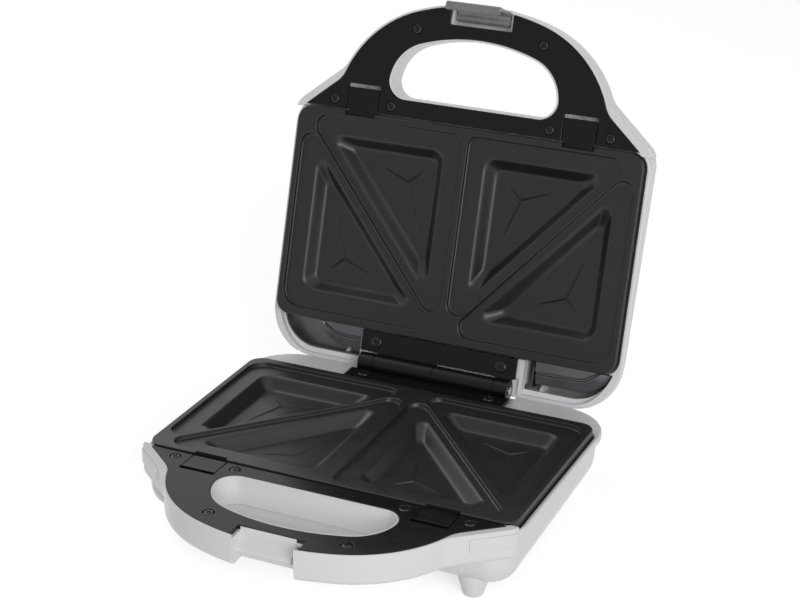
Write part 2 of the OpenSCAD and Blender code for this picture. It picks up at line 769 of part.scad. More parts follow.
module clip_spring(side)
    translate([side * clip_x, -clip_front - clip_l, spring_z]) rotate([90, 0, 0])
        linear_extrude(spring_l, twist = 360 * spring_turns, slices = 14 * spring_turns)
            translate([spring_r, 0]) circle(r = spring_wire, $fn = 8);

module base_clip_left() color(black) place_base() clip(-1);
module base_clip_right() color(black) place_base() clip(1);
module lid_clip_left() color(black) place_lid() clip(-1);
module lid_clip_right() color(black) place_lid() clip(1);
module base_clip_spring_left() color(steel) place_base() clip_spring(-1);
module base_clip_spring_right() color(steel) place_base() clip_spring(1);
module lid_clip_spring_left() color(steel) place_lid() clip_spring(-1);
module lid_clip_spring_right() color(steel) place_lid() clip_spring(1);

// ---------- latch ----------

module latch_form() {
    arm_out = -latch_reach - 5;
    arm_in = arm_out + latch_t;
    lip_z = 11.9 + catch_r + 0.3;
    translate([-latch_w / 2, 0, 0]) rotate([90, 0, 90]) linear_extrude(latch_w) {
        polygon([[arm_out, -latch_pin_z - 2.6], [-latch_reach, -latch_pin_z - 2.6],
            [-latch_reach, -latch_pin_z + 2.6], [arm_in, -latch_pin_z + 4.5], [arm_in, lip_z],
            [-latch_reach, lip_z], [-latch_reach + 0.4, lip_z + 0.8], [-latch_reach, lip_z + 2.6],
            [arm_out + 1, lip_z + 2.6], [arm_out, lip_z + 1.6]]);
    }
    translate([-latch_w / 2, -latch_reach, -latch_pin_z]) rotate([0, 90, 0])
        cylinder(r = latch_pin_r + 1.9, h = latch_w, $fn = 40);
}

module latch()
    color(smoke) place_lid()
        translate([0, -latch_reach, -latch_pin_z]) rotate([latch_rest, 0, 0])
            translate([0, latch_reach, latch_pin_z]) difference() {
                latch_form();
                translate([-far, -latch_reach, -latch_pin_z]) rotate([0, 90, 0])
                    cylinder(r = latch_pin_r + bore_fit, h = 2 * far, $fn = 40);
            }

module latch_pin()
    color(steel) place_lid()
        translate([-recess_half - wall + 0.5, -latch_reach, -latch_pin_z]) rotate([0, 90, 0])
            cylinder(r = latch_pin_r, h = 2 * (recess_half + wall) - 1, $fn = 40);

// ---------- heating ----------

module reflector()
    difference() {
        union() {
            translate([0, 0, ledge_z]) linear_extrude(sheet_t)
                rounded_2d(seat_half - 0.5, -cover_rear + 0.5, seat_rear - 0.5, plate_corner_r);
            translate([0, 0, -pan_depth]) linear_extrude(pan_depth + ledge_z + 0.1)
                rounded_2d(well_half, well_front, well_rear, 12);
        }
        translate([0, 0, -pan_depth + sheet_t]) linear_extrude(far)
            rounded_2d(well_half - sheet_t, well_front + sheet_t, well_rear - sheet_t, 12 - sheet_t);
        both_sides() for (y = pan_screw_ys) translate([pan_screw_x, y, ledge_z - 1])
            cylinder(r = screw_shank_r + bore_fit, h = 3, $fn = 32);
        for (y = [tube_y1, tube_y2]) translate([well_half - 3, y, -tube_z]) rotate([0, 90, 0])
            cylinder(r = tube_r + 0.3, h = 6, $fn = 32);
    }

module reflector_screw_set()
    both_sides() for (y = pan_screw_ys) translate([pan_screw_x, y, ledge_z + sheet_t + 1])
        screw(2.6, 1, screw_len - 0.3);

module heater() {
    for (y = [tube_y1, tube_y2]) translate([tube_bend_x, y, -tube_z]) rotate([0, 90, 0])
        cylinder(r = tube_r, h = tube_end_x - tube_bend_x, $fn = 32);
    translate([tube_bend_x, (tube_y1 + tube_y2) / 2, -tube_z])
        rotate([0, 0, 90]) rotate_extrude(angle = 180, $fn = 64)
            translate([tube_span / 2, 0]) circle(r = tube_r, $fn = 32);
}

module heater_clamps()
    for (x = clamp_xs, y = [tube_y1, tube_y2]) translate([x, y, 0]) difference() {
        union() {
            block([-4, -6, -pan_depth + sheet_t], [4, 6, -tube_z]);
            translate([-4, 0, -tube_z]) rotate([0, 90, 0]) cylinder(r = tube_r + 1.2, h = 8, $fn = 32);
        }
        translate([-far, 0, -tube_z]) rotate([0, 90, 0])
            cylinder(r = tube_r + 0.05, h = 2 * far, $fn = 32);
    }

// ceramic ends of the tube with flat connector tabs
module heater_terminals()
    for (y = [tube_y1, tube_y2]) translate([tube_end_x, y, -tube_z]) {
        rotate([0, 90, 0]) cylinder(r = tube_r - 0.4, h = 4, $fn = 32);
        block([3.9, -2.2, -0.4], [7.5, 2.2, 0.4]);
    }

module base_reflector() color(steel) place_base() reflector();
module lid_reflector() color(steel) place_lid() reflector();
module base_reflector_screws() color(steel) place_base() reflector_screw_set();
module lid_reflector_screws() color(steel) place_lid() reflector_screw_set();
module base_heater() color(steel) place_base() heater();
module lid_heater() color(steel) place_lid() heater();
module base_heater_clamps() color(steel) place_base() heater_clamps();
module lid_heater_clamps() color(steel) place_lid() heater_clamps();
module base_heater_terminals() color(ceramic) place_base() heater_terminals();
module lid_heater_terminals() color(ceramic) place_lid() heater_terminals();

// ---------- electrical parts of the base ----------

module thermostat()
    color(ceramic) place_base() translate([10, plate_d / 2, -pan_depth - 6.5]) {
        cylinder(r = 8, h = 6.5, $fn = 40);
        for (side = [-1, 1]) translate([side * 5, 0, -2]) cube([0.8, 4.5, 4.2], center = true);
    }

module thermal_fuse()
    color(steel) place_base() translate([40, plate_d / 2, -pan_depth]) {
        block([-4, -3, -2], [4, 3, 0]);
        translate([-8, 0, -3.6]) rotate([0, 90, 0]) cylinder(r = 2, h = 16, $fn = 32);
    }

module terminal_block()
    color(ceramic) place_base() difference() {
        block([-75, 119, -case_depth + wall + 2], [-53, 129, -case_depth + wall + 10]);
        for (x = [-70, -64, -58]) translate([x, 124, -case_depth + wall + 6])
            cylinder(r = 1.6, h = 10, $fn = 24);
    }

module base_wiring() {
    z = -case_depth + wall + 4;
    block_z = -case_depth + wall + 5;
    color(red) place_base() {
        wire([[-70, case_rear - 17, gland_z], [-70, 136, block_z], [-70, 129.2, block_z]], 1.1);
        wire([[-64, 118.6, block_z], [-64, 100, z], [4, 76, z], [4.2, plate_d / 2 + 2.6, -pan_depth - 8.4]],
            1.1);
        wire([[-58, 118, block_z], [-40, 104, z], [tube_end_x - 4, tube_y2 + 14, z],
            [tube_end_x + 5.6, tube_y2 + 3.6, -tube_z]], 1.1);
        wire([[16, plate_d / 2 - 3.6, -pan_depth - 8.4], [26, plate_d / 2 - 5, z], [31, plate_d / 2, z + 5.9]],
            1.1);
        wire([[49, plate_d / 2, z + 5.9], [60, 50, z], [tube_end_x - 4, tube_y1 - 14, z],
            [tube_end_x + 5.6, tube_y1 - 3.6, -tube_z]], 1.1);
    }
}

module cord_gland()
    color(black) place_base() translate([gland_x, 0, gland_z]) rotate([-90, 0, 0]) difference() {
        union() {
            translate([0, 0, case_rear]) cylinder(r = gland_r, h = 1.6, $fn = 40);
            translate([0, 0, case_rear - 15]) cylinder(r = gland_r - 1, h = 16, $fn = 40);
        }
        cylinder(r = 3.4, h = far, $fn = 40);
    }

// ---------- lamps and wiring of the lid ----------

module lamp_lens(x)
    translate([x, lamp_y, -case_depth]) {
        translate([0, 0, -0.9]) cylinder(r1 = 3.4, r2 = 4.2, h = 0.9, $fn = 40);
        cylinder(r = 3, h = wall + 1, $fn = 40);
    }

module lamp_lens_red() color(red) place_lid() lamp_lens(lamp_xs[0]);
module lamp_lens_green() color(green) place_lid() lamp_lens(lamp_xs[1]);

module lamp_bulbs()
    color(smoke) place_lid() for (x = lamp_xs) translate([x, lamp_y, -case_depth + wall + 1.3])
        cylinder(r = 2, h = 6.7, $fn = 32);

module lamp_board()
    color(board_green) place_lid()
        block([-28, lamp_y - 6, -case_depth + wall + 8], [28, lamp_y + 6, -case_depth + wall + 9.4]);

module lid_wiring() {
    z = -case_depth + wall + 3;
    board_z = -case_depth + wall + 8.7;
    color(red) place_lid() {
        wire([[28.7, lamp_y, board_z], [40, lamp_y, z], [tube_end_x - 4, tube_y1 - 14, z],
            [tube_end_x + 5.6, tube_y1 - 3.6, -tube_z]], 1.1);
        wire([[-28.7, lamp_y, board_z], [-40, lamp_y, z], [-40, 110, z], [tube_end_x - 4, tube_y2 + 14, z],
            [tube_end_x + 5.6, tube_y2 + 3.6, -tube_z]], 1.1);
    }
}

base_shell();
base_trim();
base_trim_screws();
base_plate();
base_plate_catches();
base_hinge_leaf();
base_hinge_screws();
hinge_pin();
base_clip_left();
base_clip_right();
base_clip_spring_left();
base_clip_spring_right();
base_reflector();
base_reflector_screws();
base_heater();
base_heater_clamps();
base_heater_terminals();
thermostat();
thermal_fuse();
terminal_block();
base_wiring();
cord_gland();
lid_shell();
lid_trim();
lid_trim_screws();
lid_plate();
lid_plate_catches();
lid_hinge_leaf();
lid_hinge_screws();
lid_clip_left();
lid_clip_right();
lid_clip_spring_left();
lid_clip_spring_right();
lid_reflector();
lid_reflector_screws();
lid_heater();
lid_heater_clamps();
lid_heater_terminals();
latch();
latch_pin();
lamp_lens_red();
lamp_lens_green();
lamp_bulbs();
lamp_board();
lid_wiring();
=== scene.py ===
"""Sandwich toaster, open: detailed meshes, finishes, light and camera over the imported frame.

Both halves are drawn in one half frame in millimetres: x = 0 is the middle, y = 0 the front edge
of the cooking plate, +y runs to the hinge, z = 0 is where the closed halves meet and -z goes into
the casing. HalfFrame stands the base up and opens the lid.
"""

import logging
import math
from collections.abc import Callable, Iterable, Iterator, Sequence
from contextlib import contextmanager
from dataclasses import dataclass, field
from enum import Enum

import bmesh
import bpy
from mathutils import Matrix, Vector


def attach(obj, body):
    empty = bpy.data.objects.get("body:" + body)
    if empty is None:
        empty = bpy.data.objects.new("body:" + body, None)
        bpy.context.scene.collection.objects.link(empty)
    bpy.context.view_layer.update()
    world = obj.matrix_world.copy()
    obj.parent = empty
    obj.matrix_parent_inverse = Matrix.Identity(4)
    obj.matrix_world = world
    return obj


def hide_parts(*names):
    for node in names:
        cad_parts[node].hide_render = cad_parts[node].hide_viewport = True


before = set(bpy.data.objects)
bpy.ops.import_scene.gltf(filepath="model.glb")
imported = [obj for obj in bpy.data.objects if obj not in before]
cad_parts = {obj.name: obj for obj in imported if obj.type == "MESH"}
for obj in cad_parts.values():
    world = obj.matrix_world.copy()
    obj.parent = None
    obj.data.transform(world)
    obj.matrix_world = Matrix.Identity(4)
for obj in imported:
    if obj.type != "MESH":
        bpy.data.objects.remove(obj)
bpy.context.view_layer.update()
LOG = logging.getLogger("sandwich_toaster")

Point2 = tuple[float, float]
Point3 = tuple[float, float, float]
Colour = tuple[float, float, float]
Socket = bpy.types.NodeSocket


# ---------- frames and outlines ----------


class Half(Enum):
    """The two halves of the toaster."""

    BASE = "base"
    LID = "lid"


@dataclass(frozen=True)
class HalfFrame:
    """Places half-frame millimetres in the model's frame, in metres."""

    origin_y: float = 80.3699
    stand_h: float = 50.5
    hinge_y: float = 152.9
    open_deg: float = 106.0

    def matrix(self, half: Half) -> Matrix:
        """Gives the matrix that places a half.

        Args:
            half: The half to place.

        Returns:
            The matrix from half-frame millimetres to metres in the model's frame.
        """
        stand = Matrix.Scale(0.001, 4) @ Matrix.Translation((0, -self.origin_y, self.stand_h))
        if half is Half.BASE:
            return stand
        hinge = Matrix.Translation((0, self.hinge_y, 0))
        turn = hinge @ Matrix.Rotation(-math.radians(self.open_deg), 4, "X") @ hinge.inverted()
        return stand @ turn @ Matrix.Scale(-1, 4, (0, 0, 1))


PLACING = HalfFrame()


def arc(cx: float, cy: float, r: float, a0: float, a1: float, n: int = 8) -> list[Point2]:
    """Gives points along a circular arc.

    Args:
        cx: Centre x.
        cy: Centre y.
        r: Radius.
        a0: First angle in degrees.
        a1: Last angle in degrees.
        n: Number of steps.

    Returns:
        The n + 1 points.
    """
    turns = [math.radians(a0 + (a1 - a0) * i / n) for i in range(n + 1)]
    return [(cx + r * math.cos(t), cy + r * math.sin(t)) for t in turns]


def mirrored(points: Sequence[Point2]) -> list[Point2]:
    """Completes a symmetric outline from its right half.

    Args:
        points: The right half, which starts in the middle of the front.

    Returns:
        The whole outline, counter-clockwise.
    """
    return [(-x, y) for x, y in reversed(points[1:])] + list(points)


def rounded_rect(half_w: float, y0: float, y1: float, r: float, n: int = 8) -> list[Point2]:
    """Gives a rectangle with round corners, centred on x = 0.

    Args:
        half_w: Half its width.
        y0: Its front.
        y1: Its rear.
        r: Its corner radius.
        n: Steps for each corner.

    Returns:
        The outline, counter-clockwise.
    """
    x = half_w - r
    return (arc(x, y0 + r, r, 270, 360, n) + arc(x, y1 - r, r, 0, 90, n)
            + arc(-x, y1 - r, r, 90, 180, n) + arc(-x, y0 + r, r, 180, 270, n))


def softened(corners: Sequence[Point2], radii: Sequence[float], n: int = 6) -> list[Point2]:
    """Rounds the corners of a convex polygon.

    Args:
        corners: Its corners, counter-clockwise.
        radii: A radius for each corner.
        n: Steps for each corner.

    Returns:
        The rounded outline.
    """
    points: list[Point2] = []
    for i, (corner, r) in enumerate(zip(corners, radii)):
        here = Vector(corner)
        back = (Vector(corners[i - 1]) - here).normalized()
        ahead = (Vector(corners[(i + 1) % len(corners)]) - here).normalized()
        half = back.angle(ahead) / 2
        centre = here + (back + ahead).normalized() * (r / math.sin(half))
        start = here + back * (r / math.tan(half)) - centre
        a0 = math.degrees(math.atan2(start.y, start.x))
        points += arc(centre.x, centre.y, r, a0, a0 + 180 - math.degrees(2 * half), n)
    return points


def soft_box(low: Point2, high: Point2, front_r: float, rear_r: float, n: int = 4) -> list[Point2]:
    """Gives a box outline between two corners, with its front and rear corners rounded."""
    (x0, y0), (x1, y1) = low, high
    return softened([(x0, y0), (x1, y0), (x1, y1), (x0, y1)], [front_r, front_r, rear_r, rear_r], n)


@dataclass(frozen=True)
class CasePlan:
    """A casing's outline seen from above, with its rim and the rounding of its outer face."""

    half_w: float = 116.3
    front: float = -8.0
    rear: float = 157.4
    rear_r: float = 30.5
    front_r: float = 20.0
    rear_edge_r: float = 21.0
    front_edge_r: float = 14.0
    depth: float = 40.0
    rim_z: float = -5.0
    rim_r: float = 1.2
    rim_h: float = 4.4
    rim_step: float = 3.3

    def corners(self, step: float = 0.0) -> list[tuple[float, float, float, float, float]]:
        """Gives each corner's x, y, plan radius, edge radius and first angle, set in by step but not at the front.

        Args:
            step: How far the corners are set in.

        Returns:
            The corners.
        """
        rx, ry = self.half_w - self.rear_r, self.rear - self.rear_r
        fx, fy = self.half_w - self.front_r, self.front + self.front_r - step
        rear, front = (self.rear_r - step, self.rear_edge_r), (self.front_r - step, self.front_edge_r)
        return [(rx, ry, *rear, 0), (-rx, ry, *rear, 90), (-fx, fy, *front, 180), (fx, fy, *front, 270)]

    def ring(self, step: float, z: float, inset: Callable[[float], float]) -> list[Point3]:
        """Gives one closed ring, moved in by what inset says for each corner's edge radius.

        Args:
            step: How far its corners are set in.
            z: Its height.
            inset: Gives the move in for an edge radius.

        Returns:
            The ring, counter-clockwise.
        """
        ring: list[Point3] = []
        for cx, cy, r, edge, a0 in self.corners(step):
            ring += [(x, y, z) for x, y in arc(cx, cy, r - inset(edge), a0, a0 + 90, 14)]
        return ring

    def rings(self, inset: float, top_z: float, steps: int = 12) -> list[list[Point3]]:
        """Gives the body's closed rings, below the rim, from the outer face up.

        Args:
            inset: How far the form lies inside the body's outside.
            top_z: Height of its top.
            steps: Steps of the outer rounding.

        Returns:
            The rings, each counter-clockwise.
        """
        rings: list[list[Point3]] = []
        for i in range(steps + 1):
            t = math.radians(90 * i / steps)
            ring: list[Point3] = []
            for cx, cy, r, edge, a0 in self.corners(self.rim_step):
                e = edge - inset
                z = -self.depth + inset + e * (1 - math.cos(t))
                ring += [(x, y, z) for x, y in arc(cx, cy, r - inset - e * (1 - math.sin(t)), a0, a0 + 90, 14)]
            rings.append(ring)
        return [*rings, self.ring(self.rim_step, top_z, lambda _: inset)]

    def rim(self) -> list[list[Point3]]:
        """Gives the rim's closed rings, with its rounded edges."""
        profile = edge_profile(self.rim_z - self.rim_h, self.rim_z, 0.6, self.rim_r)
        return [self.ring(0.0, z, lambda _, g=g: g) for g, z in profile]

    def bay(self, inset: float, x0: float, y0: float) -> list[Point2]:
        """Gives the outline of the right rear corner, moved in by inset and cut off at x0 and y0.

        Args:
            inset: How far it moves in.
            x0: Its inner side.
            y0: Its front.

        Returns:
            The outline.
        """
        cx, cy, r = self.half_w - self.rear_r, self.rear - self.rear_r, self.rear_r - inset
        first = math.degrees(math.asin((y0 - cy) / r))
        return [(x0, y0)] + arc(cx, cy, r, first, 90, 12) + [(x0, self.rear - inset)]


@dataclass(frozen=True)
class HandlePlan:
    """Outlines of a handle, its cover and its finger opening, seen from above."""

    reach: float = 72.5
    front_r: float = 132.3
    arc_deg: float = 18.0
    side_r: float = 70.0
    shoulder: Point2 = (113.0, 2.5)
    slope: float = 0.85
    fillet: float = 18.0
    lip: float = 1.4
    lug: float = 4.6
    lug_corner_r: float = 11.0
    lug_x: float = 115.5
    cheek_out: float = 0.8
    cheek_side: float = 0.7
    cheek_run: float = 27.5
    cheek_t: float = 3.5
    cover_rear: float = -1.0
    band: float = 19.1
    opening_half_w: float = 55.3
    opening_r: float = 12.0
    opening_side_r: float = 27.0
    opening_rear: float = -11.4

    @property
    def arc_cy(self) -> float:
        """Centre of the handle's front arc."""
        return self.front_r - self.reach

    @property
    def steepness(self) -> float:
        """Length of the shoulder's slope for each unit across."""
        return math.hypot(1, self.slope)

    @property
    def along(self) -> Vector:
        """Direction of the shoulder's slope."""
        return Vector((1, self.slope)).normalized()

    @property
    def outward(self) -> Vector:
        """Direction out of the shoulder's slope."""
        return Vector((self.along.y, -self.along.x))

    def lug_corner(self, side: float, out: float, last: float) -> list[Point2]:
        """Gives the lug's rounded corner, from the shoulder's slope on.

        Args:
            side: Where the lug's outer side is.
            out: How far the shoulder moves out.
            last: Its last angle in degrees.

        Returns:
            The points.
        """
        r = self.lug_corner_r
        x = side - r
        y = (x - self.shoulder[0]) * self.slope + self.shoulder[1] - (out - r) * self.steepness
        return arc(x, y, r, math.degrees(math.atan2(-1, self.slope)), last)

    def half(self, grow: float, out: float, r: float) -> list[Point2]:
        """Gives the right half of the handle's outline, up to its shoulder.

        Args:
            grow: How far the front and side move out.
            out: How far the shoulder moves out.
            r: Radius of the fillet between side and shoulder.

        Returns:
            The points from the middle of the front to the shoulder.
        """
        turn = math.radians(self.arc_deg)
        offset = self.front_r - self.side_r
        side = Vector((math.sin(turn) * offset, self.arc_cy - math.cos(turn) * offset))
        along, outward = self.along, self.outward
        p = Vector(self.shoulder) + outward * (out + r)
        w = p - side
        reach = self.side_r + grow + r
        c = p + along * (math.sqrt(w.dot(along) ** 2 - w.dot(w) + reach * reach) - w.dot(along))
        v = c - side
        end = 360 + math.degrees(math.atan2(v.y, v.x))
        last = math.degrees(math.atan2(-outward.y, -outward.x))
        return (arc(0, self.arc_cy, self.front_r + grow, 270, 270 + self.arc_deg, 14)
                + arc(side.x, side.y, self.side_r + grow, 271 + self.arc_deg, end, 24)
                + arc(c.x, c.y, r, end - 180, last, 10)[1:])

    def cover(self, grow: float = 0.0, rear: float | None = None) -> list[Point2]:
        """Gives the outline of the cover, grown, and cut off straight at rear.

        Args:
            grow: How far it grows.
            rear: Where it is cut off, or the cover's own rear.

        Returns:
            The outline.
        """
        y = self.cover_rear if rear is None else rear
        x = self.shoulder[0] + (y - self.shoulder[1] + grow * self.steepness) / self.slope
        return mirrored(self.half(grow, grow, self.fillet - grow) + [(x, y)])

    def tray(self, inset: float) -> list[Point2]:
        """Gives the outline of the white handle, with its lugs, moved in by inset.

        Args:
            inset: How far it moves in.

        Returns:
            The outline.
        """
        side, out = self.lug_x - inset, self.lug - inset
        return mirrored(self.half(self.lip - inset, out, self.fillet) + self.lug_corner(side, out, 0) + [(side, 24)])

    def opening(self, grow: float = 0.0) -> list[Point2]:
        """Gives the outline of the finger opening, grown.

        Args:
            grow: How far it grows.

        Returns:
            The outline.
        """
        front = self.front_r - self.band
        side_x = self.opening_half_w - self.opening_side_r
        side_y = self.arc_cy - math.sqrt((front - self.opening_side_r) ** 2 - side_x ** 2)
        corner_x, corner_y = self.opening_half_w - self.opening_r, self.opening_rear - self.opening_r
        turn = 360 + math.degrees(math.atan2(side_y - self.arc_cy, side_x))
        end = 360 + math.degrees(math.asin((corner_y - side_y) / self.opening_side_r))
        return mirrored(arc(0, self.arc_cy, front + grow, 270, turn, 14)
                        + arc(side_x, side_y, self.opening_side_r + grow, turn + 1, end, 16)
                        + arc(corner_x, corner_y, self.opening_r + grow, 1, 90, 14))

    def cheek(self, inset: float) -> list[Point2]:
        """Gives the outline of the raised cheek outside the right lug, moved in by inset.

        Args:
            inset: How far it moves in.

        Returns:
            The outline.
        """
        side, out = self.lug_x + self.cheek_side - inset, self.lug + self.cheek_out - inset
        start = Vector(self.shoulder) + self.outward * out - self.along * (self.cheek_run - inset)
        deep = start - self.outward * self.cheek_t
        return ([(deep.x, deep.y), (start.x, start.y)] + self.lug_corner(side, out, -22)
                + [(side - self.cheek_out, 0.6), (self.lug_x - 5, 0.6)])


@dataclass(frozen=True)
class ClipPlan:
    """Places of the plate clips, shared by the casings, covers and plates."""

    x: float = 70.7
    width: float = 21.0
    length: float = 14.0
    front: float = -1.1
    window_front: float = -17.4


CASE = CasePlan()
HANDLE = HandlePlan()
CLIP = ClipPlan()
COVER_TOP = -1.3
COVER_BOTTOM = -3.8
TRIM_SCREWS: tuple[Point2, ...] = ((90.1, -6.5), (51.8, -6.5), (41.1, -55.5))
HINGE_SCREW: Point2 = (41.5, 139.7)
PAN_SCREWS: tuple[Point2, ...] = ((105.6, 14.0), (105.6, 118.2))
SOFT_CUT: tuple[Point2, ...] = ((0, -9), (0, -1.7), (0.12, -1.42), (0.4, -1.29), (0.4, 5))  # grown, height
NOTCH_HALF = 20.1
NOTCH_REAR = -60.8


# ---------- shaping ----------


@contextmanager
def editing(mesh: bpy.types.Mesh) -> Iterator[bmesh.types.BMesh]:
    """Opens a mesh for editing and writes it back at the end.

    Args:
        mesh: The mesh.

    Yields:
        The open mesh.
    """
    work = bmesh.new()
    work.from_mesh(mesh)
    yield work
    work.to_mesh(mesh)
    work.free()


class Blank:
    """A closed solid in half-frame millimetres, shaped by adding and cutting other blanks."""

    def __init__(self, verts: Iterable[Point3], faces: Iterable[Sequence[int]]) -> None:
        """Makes the solid from its points and faces.

        Args:
            verts: Its points.
            faces: Its faces, as numbers of points.
        """
        mesh = bpy.data.meshes.new("blank")
        mesh.from_pydata(list(verts), [], [list(f) for f in faces])
        self.obj = bpy.data.objects.new("blank", mesh)
        bpy.context.scene.collection.objects.link(self.obj)

    @classmethod
    def lofted(cls, rings: Sequence[Sequence[Point3]]) -> "Blank":
        """Makes a solid through rings.

        Args:
            rings: Rings of equal length, counter-clockwise, from the bottom to the top.

        Returns:
            The solid, with flat caps.
        """
        n = len(rings[0])
        verts = [p for ring in rings for p in ring]
        faces: list[Sequence[int]] = [list(range(n))[::-1], [(len(rings) - 1) * n + i for i in range(n)]]
        for k in range(len(rings) - 1):
            a = k * n
            faces += [(a + i, a + (i + 1) % n, a + n + (i + 1) % n, a + n + i) for i in range(n)]
        return cls(verts, faces)

    @classmethod
    def stacked(cls, outline: Callable[[float], Sequence[Point2]], profile: Sequence[Point2]) -> "Blank":
        """Makes a solid whose outline changes with height.

        Args:
            outline: Gives the outline for the first value of a pair.
            profile: Pairs of that value and a height, from the bottom to the top.

        Returns:
            The solid.
        """
        return cls.lofted([[(x, y, z) for x, y in outline(value)] for value, z in profile])

    @classmethod
    def prism(cls, outline: Sequence[Point2], z0: float, z1: float) -> "Blank":
        """Makes an upright prism over an outline."""
        return cls.stacked(lambda _: outline, [(0, z0), (0, z1)])

    @classmethod
    def rod(cls, r: float, z0: float, z1: float, place: Point2, n: int = 20) -> "Blank":
        """Makes an upright round bar with its axis at a place in x and y."""
        return cls.turned([(r, z0), (r, z1)], (*place, 0), "Z", n)

    @classmethod
    def along_x(cls, profile: Sequence[Point2], x0: float, x1: float, edge: float = 0.0) -> "Blank":
        """Makes a bar along x with a profile in y and z, counter-clockwise seen from +x."""
        blank = cls.lofted([[(x, y, z) for y, z in profile] for x in (x0, x1)])
        return blank.eased(edge) if edge else blank

    @classmethod
    def block(cls, low: Point3, high: Point3, edge: float = 0.0) -> "Blank":
        """Makes a box between two corners, with its edges eased.

        Args:
            low: Its lowest corner.
            high: Its highest corner.
            edge: Width of the eased edges.

        Returns:
            The box.
        """
        (x0, y0, z0), (x1, y1, z1) = low, high
        blank = cls.prism([(x0, y0), (x1, y0), (x1, y1), (x0, y1)], z0, z1)
        return blank.eased(edge) if edge else blank

    @classmethod
    def turned(cls, profile: Sequence[Point2], place: Point3, axis: str = "Z", n: int = 40) -> "Blank":
        """Makes a round solid.

        Args:
            profile: Radius and height pairs from the bottom to the top.
            place: Where its axis starts.
            axis: The axis it is turned about, Z, X or Y.
            n: Number of sides.

        Returns:
            The solid.
        """
        rings: list[list[Point3]] = []
        for r, h in profile:
            ring: list[Point3] = []
            for i in range(n):
                a = 2 * math.pi * i / n
                u, v = r * math.cos(a), r * math.sin(a)
                p = {"Z": (u, v, h), "X": (h, u, v), "Y": (v, h, u)}[axis]
                ring.append((place[0] + p[0], place[1] + p[1], place[2] + p[2]))
            rings.append(ring)
        return cls.lofted(rings)

    def eased(self, width: float, angle: float = 40.0) -> "Blank":
        """Rounds every edge that is sharper than an angle in degrees.

        Args:
            width: Width of the rounding.
            angle: The angle.

        Returns:
            The same blank.
        """
        with editing(self.obj.data) as work:
            edges = [e for e in work.edges if len(e.link_faces) == 2 and e.calc_face_angle(0) > math.radians(angle)]
            bmesh.ops.bevel(work, geom=edges, offset=width, segments=2, affect="EDGES", profile=0.6,
                            clamp_overlap=True)
        return self

    def shaped(self, operation: str, others: Sequence["Blank"]) -> "Blank":
        """Adds other blanks to this one, or cuts them out of it.

        Args:
            operation: UNION or DIFFERENCE.
            others: The other blanks, which are used up.

        Returns:
            The same blank.
        """
        tools = bpy.data.collections.new("tools")
        bpy.context.scene.collection.children.link(tools)
        for other in others:
            tools.objects.link(other.obj)
        cut = self.obj.modifiers.new("cut", "BOOLEAN")
        cut.operation, cut.solver, cut.operand_type, cut.collection = operation, "EXACT", "COLLECTION", tools
        self.settle()
        for other in others:
            bpy.data.objects.remove(other.obj)
        bpy.data.collections.remove(tools)
        return self

    def settle(self) -> None:
        """Turns the modifiers into plain mesh."""
        graph = bpy.context.evaluated_depsgraph_get()
        graph.update()
        mesh = bpy.data.meshes.new_from_object(self.obj.evaluated_get(graph), depsgraph=graph)
        self.obj.modifiers.clear()
        self.obj.data = mesh

    def add(self, *others: "Blank") -> "Blank":
        """Adds other blanks to this one."""
        return self.shaped("UNION", others)

    def cut(self, *others: "Blank") -> "Blank":
        """Cuts other blanks out of this one."""
        return self.shaped("DIFFERENCE", others)

    def beside(self, *others: "Blank") -> "Blank":
        """Takes other blanks into this mesh as they are, overlapping it or not.

        Args:
            others: The other blanks, which are used up.

        Returns:
            The same blank.
        """
        with editing(self.obj.data) as work:
            for other in others:
                work.from_mesh(other.obj.data)
                bpy.data.objects.remove(other.obj)
        return self

    def moved(self, matrix: Matrix) -> "Blank":
        """Moves the mesh, and turns its faces back where the matrix mirrors them.

        Args:
            matrix: The move.

        Returns:
            The same blank.
        """
        with editing(self.obj.data) as work:
            work.transform(matrix)
            if matrix.determinant() < 0:
                bmesh.ops.reverse_faces(work, faces=work.faces)
        return self

    def outward(self) -> "Blank":
        """Turns every face outward.

        Returns:
            The same blank.
        """
        with editing(self.obj.data) as work:
            bmesh.ops.recalc_face_normals(work, faces=work.faces)
            if work.calc_volume(signed=True) < 0:
                bmesh.ops.reverse_faces(work, faces=work.faces)
        return self

    def mirror_x(self) -> "Blank":
        """Gives a mirrored copy of this blank, across x = 0.

        Returns:
            The copy.
        """
        copy = Blank([], [])
        copy.obj.data = self.obj.data.copy()
        return copy.moved(Matrix.Scale(-1, 4, (1, 0, 0)))


def both(blank: Blank) -> list[Blank]:
    """Gives a blank and its mirror image across x = 0."""
    return [blank, blank.mirror_x()]


def edge_profile(z0: float, z1: float, bottom_r: float, top_r: float, steps: int = 5) -> list[Point2]:
    """Gives inset and height pairs of a wall with a rounded bottom and top edge.

    Args:
        z0: Bottom of the wall.
        z1: Top of the wall.
        bottom_r: Rounding at the bottom.
        top_r: Rounding at the top.
        steps: Steps of each rounding.

    Returns:
        The pairs from the bottom to the top.
    """
    turns = [math.radians(90 * i / steps) for i in range(steps + 1)]
    return ([(bottom_r * (1 - math.sin(t)), z0 + bottom_r * (1 - math.cos(t))) for t in turns]
            + [(top_r * (1 - math.cos(t)), z1 - top_r * (1 - math.sin(t))) for t in turns])


# ---------- finishes ----------


